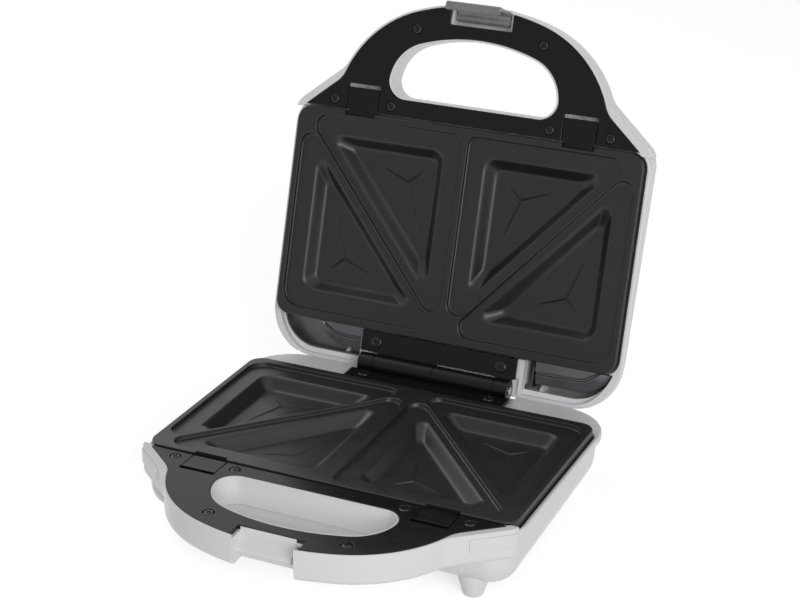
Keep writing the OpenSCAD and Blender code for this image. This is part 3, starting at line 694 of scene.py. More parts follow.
class Graph:
    """The nodes of a material or the world, with short calls for adding and joining them."""

    def __init__(self, owner: bpy.types.Material | bpy.types.World) -> None:
        """Empties the nodes of a material or the world.

        Args:
            owner: The material or world.
        """
        owner.use_nodes = True
        self.tree = owner.node_tree
        self.tree.nodes.clear()

    def node(self, kind: str, **values: float | tuple[float, ...]) -> bpy.types.Node:
        """Adds a node and sets its inputs by name, with _ for a space.

        Args:
            kind: Its type, without ShaderNode.
            values: Its inputs.

        Returns:
            The node.
        """
        node = self.tree.nodes.new(f"ShaderNode{kind}")
        self.set(node, values)
        return node

    @staticmethod
    def set(node: bpy.types.Node, values: dict[str, float | tuple[float, ...]]) -> None:
        """Sets a node's inputs by name, with _ for a space."""
        for key, value in values.items():
            node.inputs[key.replace("_", " ")].default_value = value

    def link(self, source: Socket, target: Socket) -> None:
        """Joins an output to an input."""
        self.tree.links.new(source, target)


class Bench(Graph):
    """A material under way: its shader, and calls for what varies over its surface."""

    def __init__(self, name: str) -> None:
        """Starts a material with its shader and Object coordinates.

        Args:
            name: Name of the material.
        """
        self.material = bpy.data.materials.new(name)
        super().__init__(self.material)
        self.shader = self.node("BsdfPrincipled")
        self.link(self.shader.outputs[0], self.node("OutputMaterial").inputs["Surface"])
        self.coords = self.node("TexCoord")

    def noise(self, size: float, detail: float = 4.0, stretch: Point3 = (1.0, 1.0, 1.0), offset: float = 0.0) -> Socket:
        """Adds noise.

        Args:
            size: Size of a patch, in metres.
            detail: Number of finer layers.
            stretch: Scale along each axis.
            offset: Shift that keeps two noises apart.

        Returns:
            Its value.
        """
        place = self.node("Mapping", Scale=stretch, Location=(offset, offset, offset))
        self.link(self.coords.outputs["Object"], place.inputs["Vector"])
        noise = self.node("TexNoise", Scale=1.0 / size, Detail=detail, Roughness=0.55)
        self.link(place.outputs[0], noise.inputs["Vector"])
        return noise.outputs["Fac"]

    def ramp(self, value: Socket, stops: Sequence[tuple[float, Colour]]) -> Socket:
        """Turns a value into a colour through stops.

        Args:
            value: The value.
            stops: Places and colours of the stops.

        Returns:
            The colour.
        """
        ramp = self.node("ValToRGB")
        while len(ramp.color_ramp.elements) < len(stops):
            ramp.color_ramp.elements.new(0.5)
        for element, (place, colour) in zip(ramp.color_ramp.elements, stops):
            element.position, element.color = place, (*colour, 1.0)
        self.link(value, ramp.inputs["Fac"])
        return ramp.outputs["Color"]

    def span(self, value: Socket, low: float, high: float, inner: Point2 = (0.3, 0.7)) -> Socket:
        """Maps a value from the inner span to low and high.

        Args:
            value: The value.
            low: Result at the start of the inner span.
            high: Result at its end.
            inner: The inner span.

        Returns:
            The mapped value.
        """
        span = self.node("MapRange", From_Min=inner[0], From_Max=inner[1], To_Min=low, To_Max=high)
        self.link(value, span.inputs["Value"])
        return span.outputs["Result"]

    def bump(self, height: Socket, depth: float, under: Socket | None = None) -> Socket:
        """Adds a bump of a depth in metres, over another one where given.

        Args:
            height: The height.
            depth: Its depth.
            under: The normal of the other bump.

        Returns:
            The normal.
        """
        bump = self.node("Bump", Strength=1.0, Distance=depth)
        self.link(height, bump.inputs["Height"])
        if under is not None:
            self.link(under, bump.inputs["Normal"])
        return bump.outputs["Normal"]

    def shade(self, **values: float) -> None:
        """Sets the shader's own inputs by name, with _ for a space."""
        self.set(self.shader, values)

    def surface(self, colour: Socket, roughness: Socket, normal: Socket) -> None:
        """Joins what varies over the surface to the shader."""
        for key, source in (("Base Color", colour), ("Roughness", roughness), ("Normal", normal)):
            self.link(source, self.shader.inputs[key])


def scaled(colour: Colour, k: float) -> Colour:
    """Gives a colour made lighter or darker."""
    return (min(colour[0] * k, 1.0), min(colour[1] * k, 1.0), min(colour[2] * k, 1.0))


@dataclass(frozen=True)
class Finish:
    """A finish, whose name is also its material slot."""

    name: str

    def build(self) -> bpy.types.Material:
        """Builds the material.

        Returns:
            The material.
        """
        bench = Bench(self.name)
        self.dress(bench)
        return bench.material

    def dress(self, bench: Bench) -> None:
        """Adds what varies over the surface and sets the shader."""
        raise NotImplementedError


@dataclass(frozen=True)
class MouldedPlastic(Finish):
    """Injection-moulded plastic with a faint flow mottle and a fine mould grain."""

    colour: Colour
    roughness: Point2
    mottle: float = 0.03
    grain_size: float = 0.0006
    grain_depth: float = 0.00001
    ripple_depth: float = 0.0
    coat: float = 0.0
    specular: float = 0.5

    def dress(self, bench: Bench) -> None:
        """Dresses the bench.

        Args:
            bench: The material under way.
        """
        cloud = bench.noise(0.035, 5.0)
        fine = bench.noise(0.004, 3.0, offset=3.7)
        colour = bench.ramp(cloud, [(0.3, scaled(self.colour, 1 - self.mottle)),
                                    (0.7, scaled(self.colour, 1 + self.mottle))])
        normal = bench.bump(bench.noise(self.grain_size, 2.0, offset=1.3), self.grain_depth)
        if self.ripple_depth:
            normal = bench.bump(cloud, self.ripple_depth, under=normal)
        bench.surface(colour, bench.span(fine, *self.roughness), normal)
        bench.shade(Coat_Weight=self.coat, Coat_Roughness=0.15, Specular_IOR_Level=self.specular, IOR=1.48)


@dataclass(frozen=True)
class NonStickCoating(Finish):
    """Baked non-stick coating on cast aluminium: dark, softly shiny, with fine flecks."""

    colour: Colour = (0.0135, 0.0135, 0.0128)
    fleck: Colour = (0.03, 0.03, 0.028)
    roughness: Point2 = (0.34, 0.42)

    def dress(self, bench: Bench) -> None:
        """Dresses the bench.

        Args:
            bench: The material under way.
        """
        fleck = bench.noise(0.00055, 1.0, offset=5.1)
        colour = bench.ramp(fleck, [(0.0, scaled(self.colour, 0.8)), (0.5, self.colour),
                                    (0.66, self.colour), (0.74, self.fleck)])
        rough = bench.span(bench.noise(0.012, 4.0), *self.roughness)
        cast = bench.bump(bench.noise(0.0035, 3.0, offset=2.0), 0.00003)
        normal = bench.bump(fleck, 0.000012, under=cast)
        bench.surface(colour, rough, normal)
        bench.shade(Specular_IOR_Level=0.5, IOR=1.5)


@dataclass(frozen=True)
class BareMetal(Finish):
    """Rolled, drawn or plated metal with fine marks along one axis."""

    colour: Colour = (0.62, 0.62, 0.60)
    roughness: Point2 = (0.22, 0.36)
    stretch: Point3 = (0.05, 1.0, 1.0)
    heat: float = 0.0

    def dress(self, bench: Bench) -> None:
        """Dresses the bench.

        Args:
            bench: The material under way.
        """
        marks = bench.noise(0.0005, 3.0, self.stretch)
        cloud = bench.noise(0.02, 4.0, offset=4.0)
        low = scaled(self.colour, 0.82) if not self.heat else (0.30, 0.24, 0.19)
        colour = bench.ramp(cloud, [(0.35, low), (0.62, self.colour)])
        bench.surface(colour, bench.span(marks, *self.roughness),
                      bench.bump(marks, 0.00001))
        bench.shade(Metallic=1.0, Anisotropic=0.3)


@dataclass(frozen=True)
class ClearPlastic(Finish):
    """See-through or smoked moulding, or lamp glass."""

    colour: Colour
    transmission: float = 0.8
    roughness: Point2 = (0.12, 0.22)
    ior: float = 1.49

    def dress(self, bench: Bench) -> None:
        """Dresses the bench.

        Args:
            bench: The material under way.
        """
        cloud = bench.noise(0.008, 3.0)
        colour = bench.ramp(cloud, [(0.3, scaled(self.colour, 0.92)), (0.7, scaled(self.colour, 1.06))])
        bench.surface(colour, bench.span(cloud, *self.roughness),
                      bench.bump(bench.noise(0.0012, 2.0, offset=2.2), 0.000008))
        bench.shade(Transmission_Weight=self.transmission, IOR=self.ior, Coat_Weight=0.2)


@dataclass(frozen=True)
class FiredCeramic(Finish):
    """White fired ceramic with pores."""

    colour: Colour = (0.72, 0.69, 0.62)

    def dress(self, bench: Bench) -> None:
        """Dresses the bench.

        Args:
            bench: The material under way.
        """
        pores = bench.noise(0.0007, 2.0)
        colour = bench.ramp(pores, [(0.28, scaled(self.colour, 0.7)), (0.4, self.colour)])
        bench.surface(colour, bench.span(bench.noise(0.004), 0.45, 0.65), bench.bump(pores, 0.00003))


@dataclass(frozen=True)
class CircuitBoard(Finish):
    """Green solder mask with copper tracks showing through it."""

    mask: Colour = (0.02, 0.13, 0.05)
    track: Colour = (0.07, 0.24, 0.08)

    def dress(self, bench: Bench) -> None:
        """Dresses the bench.

        Args:
            bench: The material under way.
        """
        tracks = bench.node("TexWave", Scale=160.0, Distortion=3.0, Detail=1.0)
        bench.link(bench.coords.outputs["Object"], tracks.inputs["Vector"])
        colour = bench.ramp(tracks.outputs["Fac"], [(0.55, self.mask), (0.62, self.track)])
        bench.surface(colour, bench.span(bench.noise(0.003), 0.25, 0.4),
                      bench.bump(tracks.outputs["Fac"], 0.00003))


FINISHES: dict[str, Finish] = {
    f.name: f for f in (
        MouldedPlastic("shell_white", (0.78, 0.78, 0.79), (0.22, 0.28), 0.006, 0.0009, 0.0000012,
                       ripple_depth=0.000006, coat=0.1, specular=0.25),
        MouldedPlastic("cover_black", (0.0045, 0.0045, 0.0045), (0.20, 0.28), 0.08, 0.0004, 0.000004, specular=0.32),
        NonStickCoating("plate_coating"),
        MouldedPlastic("fastener_black", (0.012, 0.012, 0.012), (0.16, 0.26), 0.1, 0.0005, 0.000006),
        MouldedPlastic("leaf_black", (0.0035, 0.0035, 0.0035), (0.24, 0.34), 0.08, 0.0005, 0.000008, specular=0.3),
        BareMetal("pin_steel", (0.72, 0.72, 0.71), (0.14, 0.24)),
        BareMetal("catch_steel", (0.55, 0.55, 0.53), (0.28, 0.4), (1.0, 0.05, 1.0)),
        MouldedPlastic("clip_black", (0.0045, 0.0045, 0.005), (0.22, 0.3), 0.06, 0.0004, 0.000005, specular=0.3),
        BareMetal("spring_steel", (0.5, 0.5, 0.49), (0.2, 0.3)),
        BareMetal("reflector_sheet", (0.17, 0.178, 0.185), (0.3, 0.42)),
        BareMetal("tube_steel", (0.42, 0.38, 0.34), (0.35, 0.5), heat=1.0),
        FiredCeramic("ceramic_white"),
        MouldedPlastic("thermostat_body", (0.09, 0.05, 0.03), (0.4, 0.5), 0.1),
        BareMetal("fuse_metal", (0.6, 0.55, 0.42), (0.2, 0.34)),
        MouldedPlastic("wire_red", (0.36, 0.02, 0.015), (0.35, 0.5), 0.08),
        MouldedPlastic("gland_black", (0.014, 0.014, 0.014), (0.5, 0.62), 0.1),
        ClearPlastic("latch_smoke", (0.30, 0.30, 0.29), 0.35, (0.22, 0.32)),
        ClearPlastic("lens_red", (0.7, 0.03, 0.02)),
        ClearPlastic("lens_green", (0.04, 0.5, 0.08)),
        ClearPlastic("lamp_glass", (0.9, 0.88, 0.84), 0.95, (0.02, 0.08)),
        CircuitBoard("board_green"),
    )
}


@dataclass
class Workshop:
    """Builds each finish once and turns blanks into finished pieces of the part."""

    weld: float = 1e-6
    materials: dict[str, bpy.types.Material] = field(default_factory=dict)

    def material(self, finish: str) -> bpy.types.Material:
        """Gives the material of a finish, built at its first use.

        Args:
            finish: Name of the finish.

        Returns:
            The material.
        """
        if finish not in self.materials:
            self.materials[finish] = FINISHES[finish].build()
        return self.materials[finish]

    def piece(self, blank: Blank, half: Half, suffix: str, finish: str, *nodes: str, body: str = "",
              smooth_deg: float = 30.0) -> bpy.types.Object:
        """Finishes a blank as the piece that stands for its nodes.

        Args:
            blank: The blank, in half-frame millimetres.
            half: The half it belongs to.
            suffix: What the piece's name adds to the first node's.
            finish: Its finish and material slot.
            nodes: The nodes it stands for.
            body: The body it moves with, or the half's own if empty.
            smooth_deg: Edges sharper than this stay crisp.

        Returns:
            The piece.
        """
        name, body = f"{nodes[0]}_{suffix}", body or half.value
        blank.moved(PLACING.matrix(half))
        obj = blank.obj
        obj.name = obj.data.name = name
        with editing(obj.data) as work:
            bmesh.ops.remove_doubles(work, verts=work.verts, dist=self.weld)
            bmesh.ops.dissolve_degenerate(work, dist=self.weld, edges=work.edges)
        obj.data.shade_smooth()
        obj.data.set_sharp_from_angle(angle=math.radians(smooth_deg))
        even = obj.modifiers.new("even", "WEIGHTED_NORMAL")
        even.keep_sharp, even.weight = True, 60
        blank.settle()
        obj.data.name = name
        obj.data.materials.clear()
        obj.data.materials.append(self.material(finish))
        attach(obj, body)
        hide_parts(*nodes)
        LOG.info("%s: %d faces, on %s, %s", name, len(obj.data.polygons), body, finish)
        return obj

    def dress_node(self, node: str, finish: str) -> None:
        """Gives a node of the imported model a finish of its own.

        Args:
            node: Name of the node.
            finish: Name of the finish.
        """
        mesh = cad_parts[node].data
        mesh.materials.clear()
        mesh.materials.append(self.material(finish))
        LOG.info("%s: kept, %s", node, finish)


# ---------- casings ----------


@dataclass
class CasingShell:
    """White casing with its handle tray, seats, recesses and inner posts."""

    half: Half
    wall: float = 2.4
    tray_depth: float = 20.0
    tray_edge_r: float = 3.6
    lip_edge_r: float = 0.55
    cheek_depth: float = 12.0
    cheek_top: float = -4.0
    ledge_z: float = -7.8
    ledge_bottom: float = -10.2
    seat_half: float = 114.0
    seat_rear: float = 133.4
    window_half: float = 102.0
    leaf_rear: float = 145.9
    trough_half: float = 53.0
    trough_z: float = -7.0
    recess_half: float = 18.4
    recess_depth: float = 16.0
    foot_places: tuple[Point2, ...] = ((89.0, 4.0), (-89.0, 4.0), (89.0, 140.4), (-89.0, 140.4))
    foot_top_r: float = 9.2
    foot_r: float = 6.0
    gland: Point2 = (-70.0, -21.0)

    def outer(self) -> Blank:
        """Builds the casing before its hollows: body, handle tray, lugs, hinge bridge and feet.

        Returns:
            The casing.
        """
        body = Blank.lofted(CASE.rings(0, CASE.rim_z - 2.2))
        behind = Blank.block((-200, 1, -100), (200, 300, 50))
        tray = Blank.stacked(HANDLE.tray, edge_profile(-self.tray_depth, COVER_TOP, self.tray_edge_r, self.lip_edge_r))
        cheek = Blank.stacked(HANDLE.cheek, edge_profile(-self.cheek_depth, self.cheek_top, 0.8, 0.5))
        tray.cut(behind).add(*both(cheek))
        parts = [Blank.lofted(CASE.rim()), tray,
                 Blank.block((-50.2, self.seat_rear, self.ledge_bottom), (50.2, self.leaf_rear - 0.6, COVER_BOTTOM))]
        if self.half is Half.BASE:
            parts += [self.foot(x, y) for x, y in self.foot_places]
            x, z = self.gland
            parts.append(Blank.turned([(7, CASE.rear - 14), (7, CASE.rear - 0.5), (6.5, CASE.rear)], (x, 0, z), "Y"))
        return body.add(*parts)

    def foot(self, x: float, y: float) -> Blank:
        """Builds one tapered foot with a round end.

        Args:
            x: Its place across.
            y: Its place from front to rear.

        Returns:
            The foot.
        """
        low = -CASE.depth - 10.5
        profile = [(self.foot_r - 2.2, low), (self.foot_r - 1.3, low + 0.25), (self.foot_r - 0.45, low + 1.0),
                   (self.foot_r, low + 2.1), (self.foot_top_r - 0.3, -CASE.depth + 1),
                   (self.foot_top_r, -CASE.depth + 4.5)]
        return Blank.turned(profile, (x, y, 0), "Z", 56)

    def hollows(self) -> list[Blank]:
        """Builds the cutters of the inside, the seats, the finger opening, the trough and the recess.

        Returns:
            The cutters.
        """
        lid = self.half is Half.LID
        cuts = [Blank.lofted(CASE.rings(self.wall, self.ledge_bottom))]
        cuts.append(Blank.stacked(lambda g: rounded_rect(self.seat_half + g, -1 - g, self.seat_rear + g, 10 + g),
                                  [(0, self.ledge_z), (0, -5.45), (0.12, -5.1), (0.5, -4.96), (0.5, 6)]))
        cuts.append(Blank.prism(rounded_rect(self.window_half, 9, 123.2, 6), self.ledge_bottom - 1, self.ledge_z + 1))
        cavity = Blank.prism(HANDLE.cover(-1.0, -8), -17.6, COVER_BOTTOM + 1)
        cuts.append(cavity.cut(Blank.prism(HANDLE.opening(1.0), -30, 10)))
        seat_top = Blank.stacked(HANDLE.cover, [
            (0.2, COVER_BOTTOM), (0.2, -1.75), (0.32, -1.42), (0.62, -1.28), (0.62, 6)])
        collar = Blank.stacked(HANDLE.opening, [(-0.2, -30), (-0.2, -1.7), (-0.3, -1.42), (-0.5, -1.28), (-0.5, 10)])
        cuts.append(seat_top.cut(collar))
        cuts.append(Blank.stacked(HANDLE.opening, [
            (0.8, -22), (0.8, -20.02), (-0.2, -19.6), (-1.25, -18.6), (-1.4, -17.6), (-1.4, -1.9), (-1.25, -1.5),
            (-0.9, -1.29), (-0.9, 6)]))
        cuts.append(Blank.block((-self.trough_half, self.leaf_rear - 0.6, self.trough_z),
                                (self.trough_half, CASE.rear + 3, 6), 0.4))
        depth = self.recess_depth if lid else 60
        recess = soft_box((-self.recess_half, -83), (self.recess_half, NOTCH_REAR - 0.2), 1, 0.8)
        cuts.append(Blank.prism(recess, -depth, 6))
        if lid:
            cuts.append(Blank.block((-200, CASE.rear - 2.5, -7.5), (200, CASE.rear + 3, 6)))
            y0 = self.seat_rear - 1
            for side, x0 in ((1, self.trough_half + self.wall), (-1, self.trough_half + 0.4)):
                rim = [(x0, y0), (111.2, y0), (110.0, 135.6), (107.9, 140.2), (105.0, 144.6), (101.2, 148.8),
                       (97.0, 152.0), (92.0, 154.0), (86.0, 154.6), (x0, 154.6)]
                bay = CASE.bay(CASE.rim_step + self.wall, x0 + 0.1, y0 + 0.1)
                cuts += [Blank.prism([(side * x, y) for x, y in rim][::side], -9.3, 6),
                         Blank.prism([(side * x, y) for x, y in bay][::side], self.ledge_bottom - 1.2, -9.0)]
        return cuts

    def inner_parts(self) -> list[Blank]:
        """Builds the clip housings, posts and latch seat that stand inside.

        Returns:
            The parts.
        """
        lid = self.half is Half.LID
        parts = both(Blank.block((CLIP.x - 12.5, CLIP.window_front - 11.1, -12.4), (CLIP.x + 12.5, -7.5, COVER_BOTTOM)))
        walls = Blank.block((-self.recess_half - self.wall, -70.6, -17.9),
                            (self.recess_half + self.wall, NOTCH_REAR + self.wall, COVER_BOTTOM))
        walls.cut(Blank.block((-self.recess_half, -90, -18.5 if not lid else -self.recess_depth),
                              (self.recess_half, NOTCH_REAR - 0.2, 6)))
        parts.append(walls)
        parts += both(Blank.rod(3.6, -17.7, COVER_BOTTOM, TRIM_SCREWS[2], 32))
        for place in PAN_SCREWS:
            parts += both(Blank.rod(3.2, self.ledge_z - 9, self.ledge_z - 0.1, place, 32))
        parts += both(Blank.block((61.5, self.seat_rear - 1, self.ledge_bottom), (82.5, self.seat_rear + 4.5, -9)))
        if lid:
            for x0, x1, top in ((self.trough_half, self.trough_half + self.wall, -5),
                                (-self.trough_half - self.wall, -self.trough_half, -11)):
                parts.append(Blank.block((x0, 133.5, -16.2), (x1, CASE.rear - 8.5, top)))
            parts += [Blank.rod(3, -37.7, -29.6, (x, 24), 32) for x in (-24.0, 24.0)]
            rib = Blank.lofted([[(64.5, 152.5, -11), (66.3, 152.5, -11), (66.3, 152.5, -24), (64.5, 152.5, -24)],
                                [(64.5, 146.5, -18), (66.3, 146.5, -18), (66.3, 146.5, -24), (64.5, 146.5, -24)]])
            parts += both(rib)
        else:
            nose = [(-59, -1.9), (-59.2, -19.7), (-60.9, -19.7), (-62.0, -19.1), (-63.0, -17.6), (-64.9, -14.0)]
            nose += arc(-66.2, -12.1, 2.1, -60, -225, 8)
            nose += [(-64.0, -8.3), (-61.6, -5.6), (-61.0, -3.6), (-60.9, -1.9)]
            parts.append(Blank.along_x(nose, -self.recess_half - 0.5, 14.5))
            parts.append(Blank.block((-76, 118, -37.7), (-52, 130, -35.6)))
        return parts

    def bores(self) -> list[Blank]:
        """Builds the cutters of the clip pockets, screw holes and other small openings.

        Returns:
            The cutters.
        """
        cuts = both(Blank.block((CLIP.x - 10.9, CLIP.window_front, -10.4), (CLIP.x + 10.9, -0.8, 6)))
        cuts += both(Blank.turned([(2.25, -26.6), (2.25, -16.4)], (CLIP.x, 0, -7.4), "Y", 20))
        for place in (*TRIM_SCREWS, HINGE_SCREW):
            cuts += both(Blank.rod(1.6, -10.8, COVER_BOTTOM + 1, place))
        for place in PAN_SCREWS:
            cuts += both(Blank.rod(1.6, self.ledge_z - 7, self.ledge_z + 1, place))
        cuts += both(Blank.block((62.7, self.seat_rear - 1.1, -9), (81.3, self.seat_rear + 4, -5.55)))
        if self.half is Half.LID:
            cuts.append(Blank.turned([(1.65, -20.4), (1.65, 20.4)], (0, -66.2, -8), "X", 24))
            cuts += [Blank.rod(3.2, -42, -36, (x, 24), 32) for x in (-14.0, 14.0)]
        else:
            x, z = self.gland
            cuts.append(Blank.turned([(4.15, CASE.rear - 20), (4.15, CASE.rear + 3)], (x, 0, z), "Y", 32))
            cuts.append(Blank.block((15.0, -64, -12), (18.2, -57, -6)))
        return cuts

    def make(self, shop: Workshop) -> bpy.types.Object:
        """Builds and finishes the casing.

        Args:
            shop: The workshop.

        Returns:
            The piece.
        """
        shell = self.outer().cut(*self.hollows()).add(*self.inner_parts()).cut(*self.bores())
        return shop.piece(shell, self.half, "moulding", "shell_white", f"{self.half.value}_shell")


@dataclass
class HandleCover:
    """Black cover on a handle, with its latch notch, clip windows and screw seats."""

    half: Half
    edge_r: float = 0.5
    seat_r: float = 3.3
    seat_depth: float = 1.2

    def make(self, shop: Workshop) -> bpy.types.Object:
        """Builds and finishes the cover.

        Args:
            shop: The workshop.

        Returns:
            The piece.
        """
        top = [(g, z) for g, z in edge_profile(COVER_BOTTOM, COVER_TOP, 0.0, self.edge_r, 4)][5:]
        slab = Blank.stacked(lambda g: HANDLE.cover(-g), [(0.0, COVER_BOTTOM), *top])
        cuts = [Blank.stacked(HANDLE.opening, [(0, -9), (0, -1.8), (0.15, -1.45), (0.5, -1.29), (0.5, 5)]),
                Blank.stacked(lambda g: soft_box((-NOTCH_HALF - g, -99), (NOTCH_HALF + g, NOTCH_REAR + g), 1, 0.6),
                              SOFT_CUT)]
        w, r, floor = CLIP.width / 2 + 0.4, self.seat_r, COVER_TOP - self.seat_depth
        seat = [(1.6, -9), (1.6, floor), (r, floor), (r, -1.65), (r + 0.15, -1.42), (r + 0.45, -1.29), (r + 0.45, 5)]
        for side in (-1, 1):
            x = side * CLIP.x
            cuts.append(Blank.stacked(
                lambda g, x=x: soft_box((x - w - g, CLIP.window_front - g), (x + w + g, 9), 0.7, 1), SOFT_CUT))
            cuts += [Blank.turned(seat, (side * sx, sy, 0), "Z", 32) for sx, sy in TRIM_SCREWS]
        return shop.piece(slab.cut(*cuts), self.half, "cover", "cover_black", f"{self.half.value}_trim")


# ---------- cooking plates ----------


@dataclass
class CookingPlate:
    """Cast cooking plate: four triangular cells with pockets, and a crease star in each pocket."""

    half: Half
    half_w: float = 113.0
    depth: float = 132.2
    corner_r: float = 9.0
    top: float = -0.3
    skirt_z: float = -7.0
    skirt_t: float = 2.6
    cell_depth: float = 2.5
    cell_x: Point2 = (1.9, 109.3)
    cell_y: Point2 = (4.3, 126.8)
    ridge_w: float = 1.2
    leg_margin: float = 12.1
    ridge_margin: float = 6.4
    pocket_depth: float = 7.2
    slot_half: float = 10.05
    star_centre: Point2 = (37.2, 38.4)
    star_tips: tuple[Point2, ...] = ((28.2, 30.4), (57.3, 30.9), (27.4, 66.6))

    @property
    def middle(self) -> Vector:
        """Middle of the right-hand pair of cells."""
        return Vector((sum(self.cell_x) / 2, sum(self.cell_y) / 2))

    def outline(self, inset: float) -> list[Point2]:
        """Gives the plate's outline, moved in by inset."""
        return rounded_rect(self.half_w - inset, inset, self.depth - inset, self.corner_r - inset, 10)

    def triangle(self, end: int, leg: float, ridge: float, radii: Sequence[float]) -> list[Point2]:
        """Gives a cell's outline.

        Args:
            end: 0 for the front inner cell, 1 for the rear outer one.
            leg: How far its straight sides move in.
            ridge: How far its diagonal moves in.
            radii: Radii at the right angle, the side tip and the far tip.

        Returns:
            The outline, counter-clockwise, on the right-hand side.
        """
        w, h = self.cell_x[1] - self.cell_x[0], self.cell_y[1] - self.cell_y[0]
        diag = math.hypot(w, h)
        k = 1 - (leg * (w + h) / diag + ridge) / (w * h / diag)
        sign = 1 if end == 0 else -1
        x, y = leg - w / 2, leg - h / 2
        return softened([self.middle + sign * Vector(p) for p in ((x, y), (x + w * k, y), (x, y + h * k))], radii, 8)

    def cell(self, end: int) -> Blank:
        """Builds the cutter of one cell and its pocket, with every edge rounded.

        Args:
            end: 0 for the front inner cell, 1 for the rear outer one.

        Returns:
            The cutter.
        """
        right = 5.5 if end == 0 else 11.5
        floor = self.top - self.cell_depth
        rows: list[tuple[float, float, float, float]] = []  # leg and ridge margins, height, how far into the pocket
        for m, z in ((-0.5, self.top + 6), (-0.5, self.top + 0.01), (-0.25, self.top - 0.1), (-0.07, self.top - 0.28),
                     (0.0, self.top - 0.6), (0.12, floor + 0.8), (0.3, floor + 0.3), (0.7, floor + 0.04), (1.0, floor)):
            rows.append((m, self.ridge_w / 2 + m, z, 0.0))
        wall = [(-1.6, 0.0), (-1.0, -0.08), (-0.3, -0.36), (0.4, -0.9), (1.1, -1.75), (2.6, -3.9), (4.1, -5.8),
                (4.9, -6.55), (5.7, -6.98), (6.6, -7.17), (7.4, -7.2)]
        for s, dz in wall:
            t = (s - wall[0][0]) / (wall[-1][0] - wall[0][0])
            z = floor - dz * self.pocket_depth / wall[-1][1]
            rows.append((self.leg_margin + s, self.ridge_margin + s, z, 0.01 + t))
        rings: list[list[Point3]] = []
        for leg, ridge, z, t in rows[::-1]:
            tip = 7.0 - leg * 0.3 if t == 0 else 4.6 - 2.2 * t
            corner = max(right - leg, 1.0) if t == 0 else (8.5 if end else 7.5) - 3.5 * t
            rings.append([(x, y, z) for x, y in self.triangle(end, leg, ridge, (corner, tip, tip))])
        return Blank.lofted(rings)

    def star(self, end: int) -> list[Blank]:
        """Builds the three low creases that meet on a pocket's floor.

        Args:
            end: 0 for the front inner cell, 1 for the rear outer one.

        Returns:
            The creases.
        """
        z = self.top - self.cell_depth - self.pocket_depth
        (mx, my), c = self.middle, Vector(self.star_centre)
        sign = 1 if end == 0 else -1
        arms: list[Blank] = []
        for t in map(Vector, self.star_tips):
            run = (t - c).normalized()
            side = Vector((-run.y, run.x))
            rings: list[list[Point3]] = []
            for s, w, h in ((-0.4, 0.75, 0.75), (0.25, 0.7, 0.72), (0.7, 0.5, 0.5), (1.0, 0.12, 0.02)):
                p = c + (t - c) * s if s > 0 else c + run * s
                section = ((-w, -0.3), (w, -0.3), (w * 0.55, h * 0.6), (0, h), (-w * 0.55, h * 0.6))
                rings.append([(mx + sign * (p.x + side.x * u - mx), my + sign * (p.y + side.y * u - my), z + v)
                              for u, v in section])
            arms.append(Blank.lofted(rings))
        return arms

    def make(self, shop: Workshop) -> bpy.types.Object:
        """Builds and finishes the plate.

        Args:
            shop: The workshop.

        Returns:
            The piece.
        """
        slab = Blank.stacked(self.outline, edge_profile(self.skirt_z, self.top, 0.3, 0.7, 4))
        slab.cut(Blank.prism(self.outline(self.skirt_t), self.skirt_z - 2, self.top - 4.4))
        bosses: list[Blank] = []
        cells: list[Blank] = []
        extras: list[Blank] = []
        for end in (0, 1):
            bosses += both(Blank.stacked(lambda leg, end=end: self.triangle(end, leg, leg - 5.7, (6, 5, 5)),
                                         ((15.5, -12), (13.5, -11.4), (12.6, -6), (10.1, -4.6))))
            cells += both(self.cell(end))
            for arm in self.star(end):
                extras += both(arm)
        slab.add(*bosses).cut(*cells)
        w = self.slot_half
        slab.cut(*[Blank.stacked(lambda g, x=x: soft_box((x - w - g, -5), (x + w + g, 2.4 + g), 1, 0.5, 3),
                                 ((0, -4.2), (0, -0.75), (0.12, -0.4), (0.4, -0.29), (0.4, 5)))
                   for x in (-CLIP.x - 0.65, CLIP.x + 0.65)])
        extras += both(Blank.block((64.5, self.depth - 1, -6.9), (79.5, self.depth + 4.4, -5.7), 0.3))
        slab.beside(*extras)
        return shop.piece(slab, self.half, "casting", "plate_coating", f"{self.half.value}_plate", smooth_deg=34)


# ---------- hinge ----------


@dataclass
class HingeLeaf:
    """Black hinge leaf with two knuckles."""

    half: Half
    half_w: float = 51.6
    front: float = 132.9
    rear: float = 145.9
    thickness: float = 2.5
    barrel_r: float = 6.3
    barrel_half: float = 49.5
    barrel_edge: float = 0.35
    knuckle: float = 9.5
    gap: float = 0.15

    def make(self, shop: Workshop) -> bpy.types.Object:
        """Builds and finishes the leaf.

        Args:
            shop: The workshop.

        Returns:
            The piece.
        """
        y = PLACING.hinge_y
        top = COVER_BOTTOM + self.thickness
        w = self.half_w + (0.9 if self.half is Half.BASE else 0.0)
        leaf = Blank.block((-w, self.front, COVER_BOTTOM), (w, self.rear, top), 0.35)
        leaf.cut(*both(Blank.rod(1.7, -9, 5, HINGE_SCREW, 24)))
        inner = self.barrel_half - self.knuckle
        parts: list[Blank] = []
        r, e = self.barrel_r, self.barrel_edge
        for x0, x1 in ((-self.barrel_half, -inner - self.gap), (self.gap, inner - self.gap)):
            if self.half is Half.LID:
                x0, x1 = -x1, -x0
            tube = Blank.turned([(r - e, x0), (r - 0.1, x0 + 0.1), (r, x0 + e),
                                 (r, x1 - e), (r - 0.1, x1 - 0.1), (r - e, x1)], (0, y, 0), "X", 64)
            tube.cut(Blank.turned([(2.15, x0 - 1), (2.15, x1 + 1)], (0, y, 0), "X", 32))
            parts += [tube, Blank.block((x0, self.rear - 1, COVER_BOTTOM), (x1, y - 4.2, top - 0.02), 0.2)]
        return shop.piece(leaf.beside(*parts), self.half, "casting", "leaf_black", f"{self.half.value}_hinge_leaf")


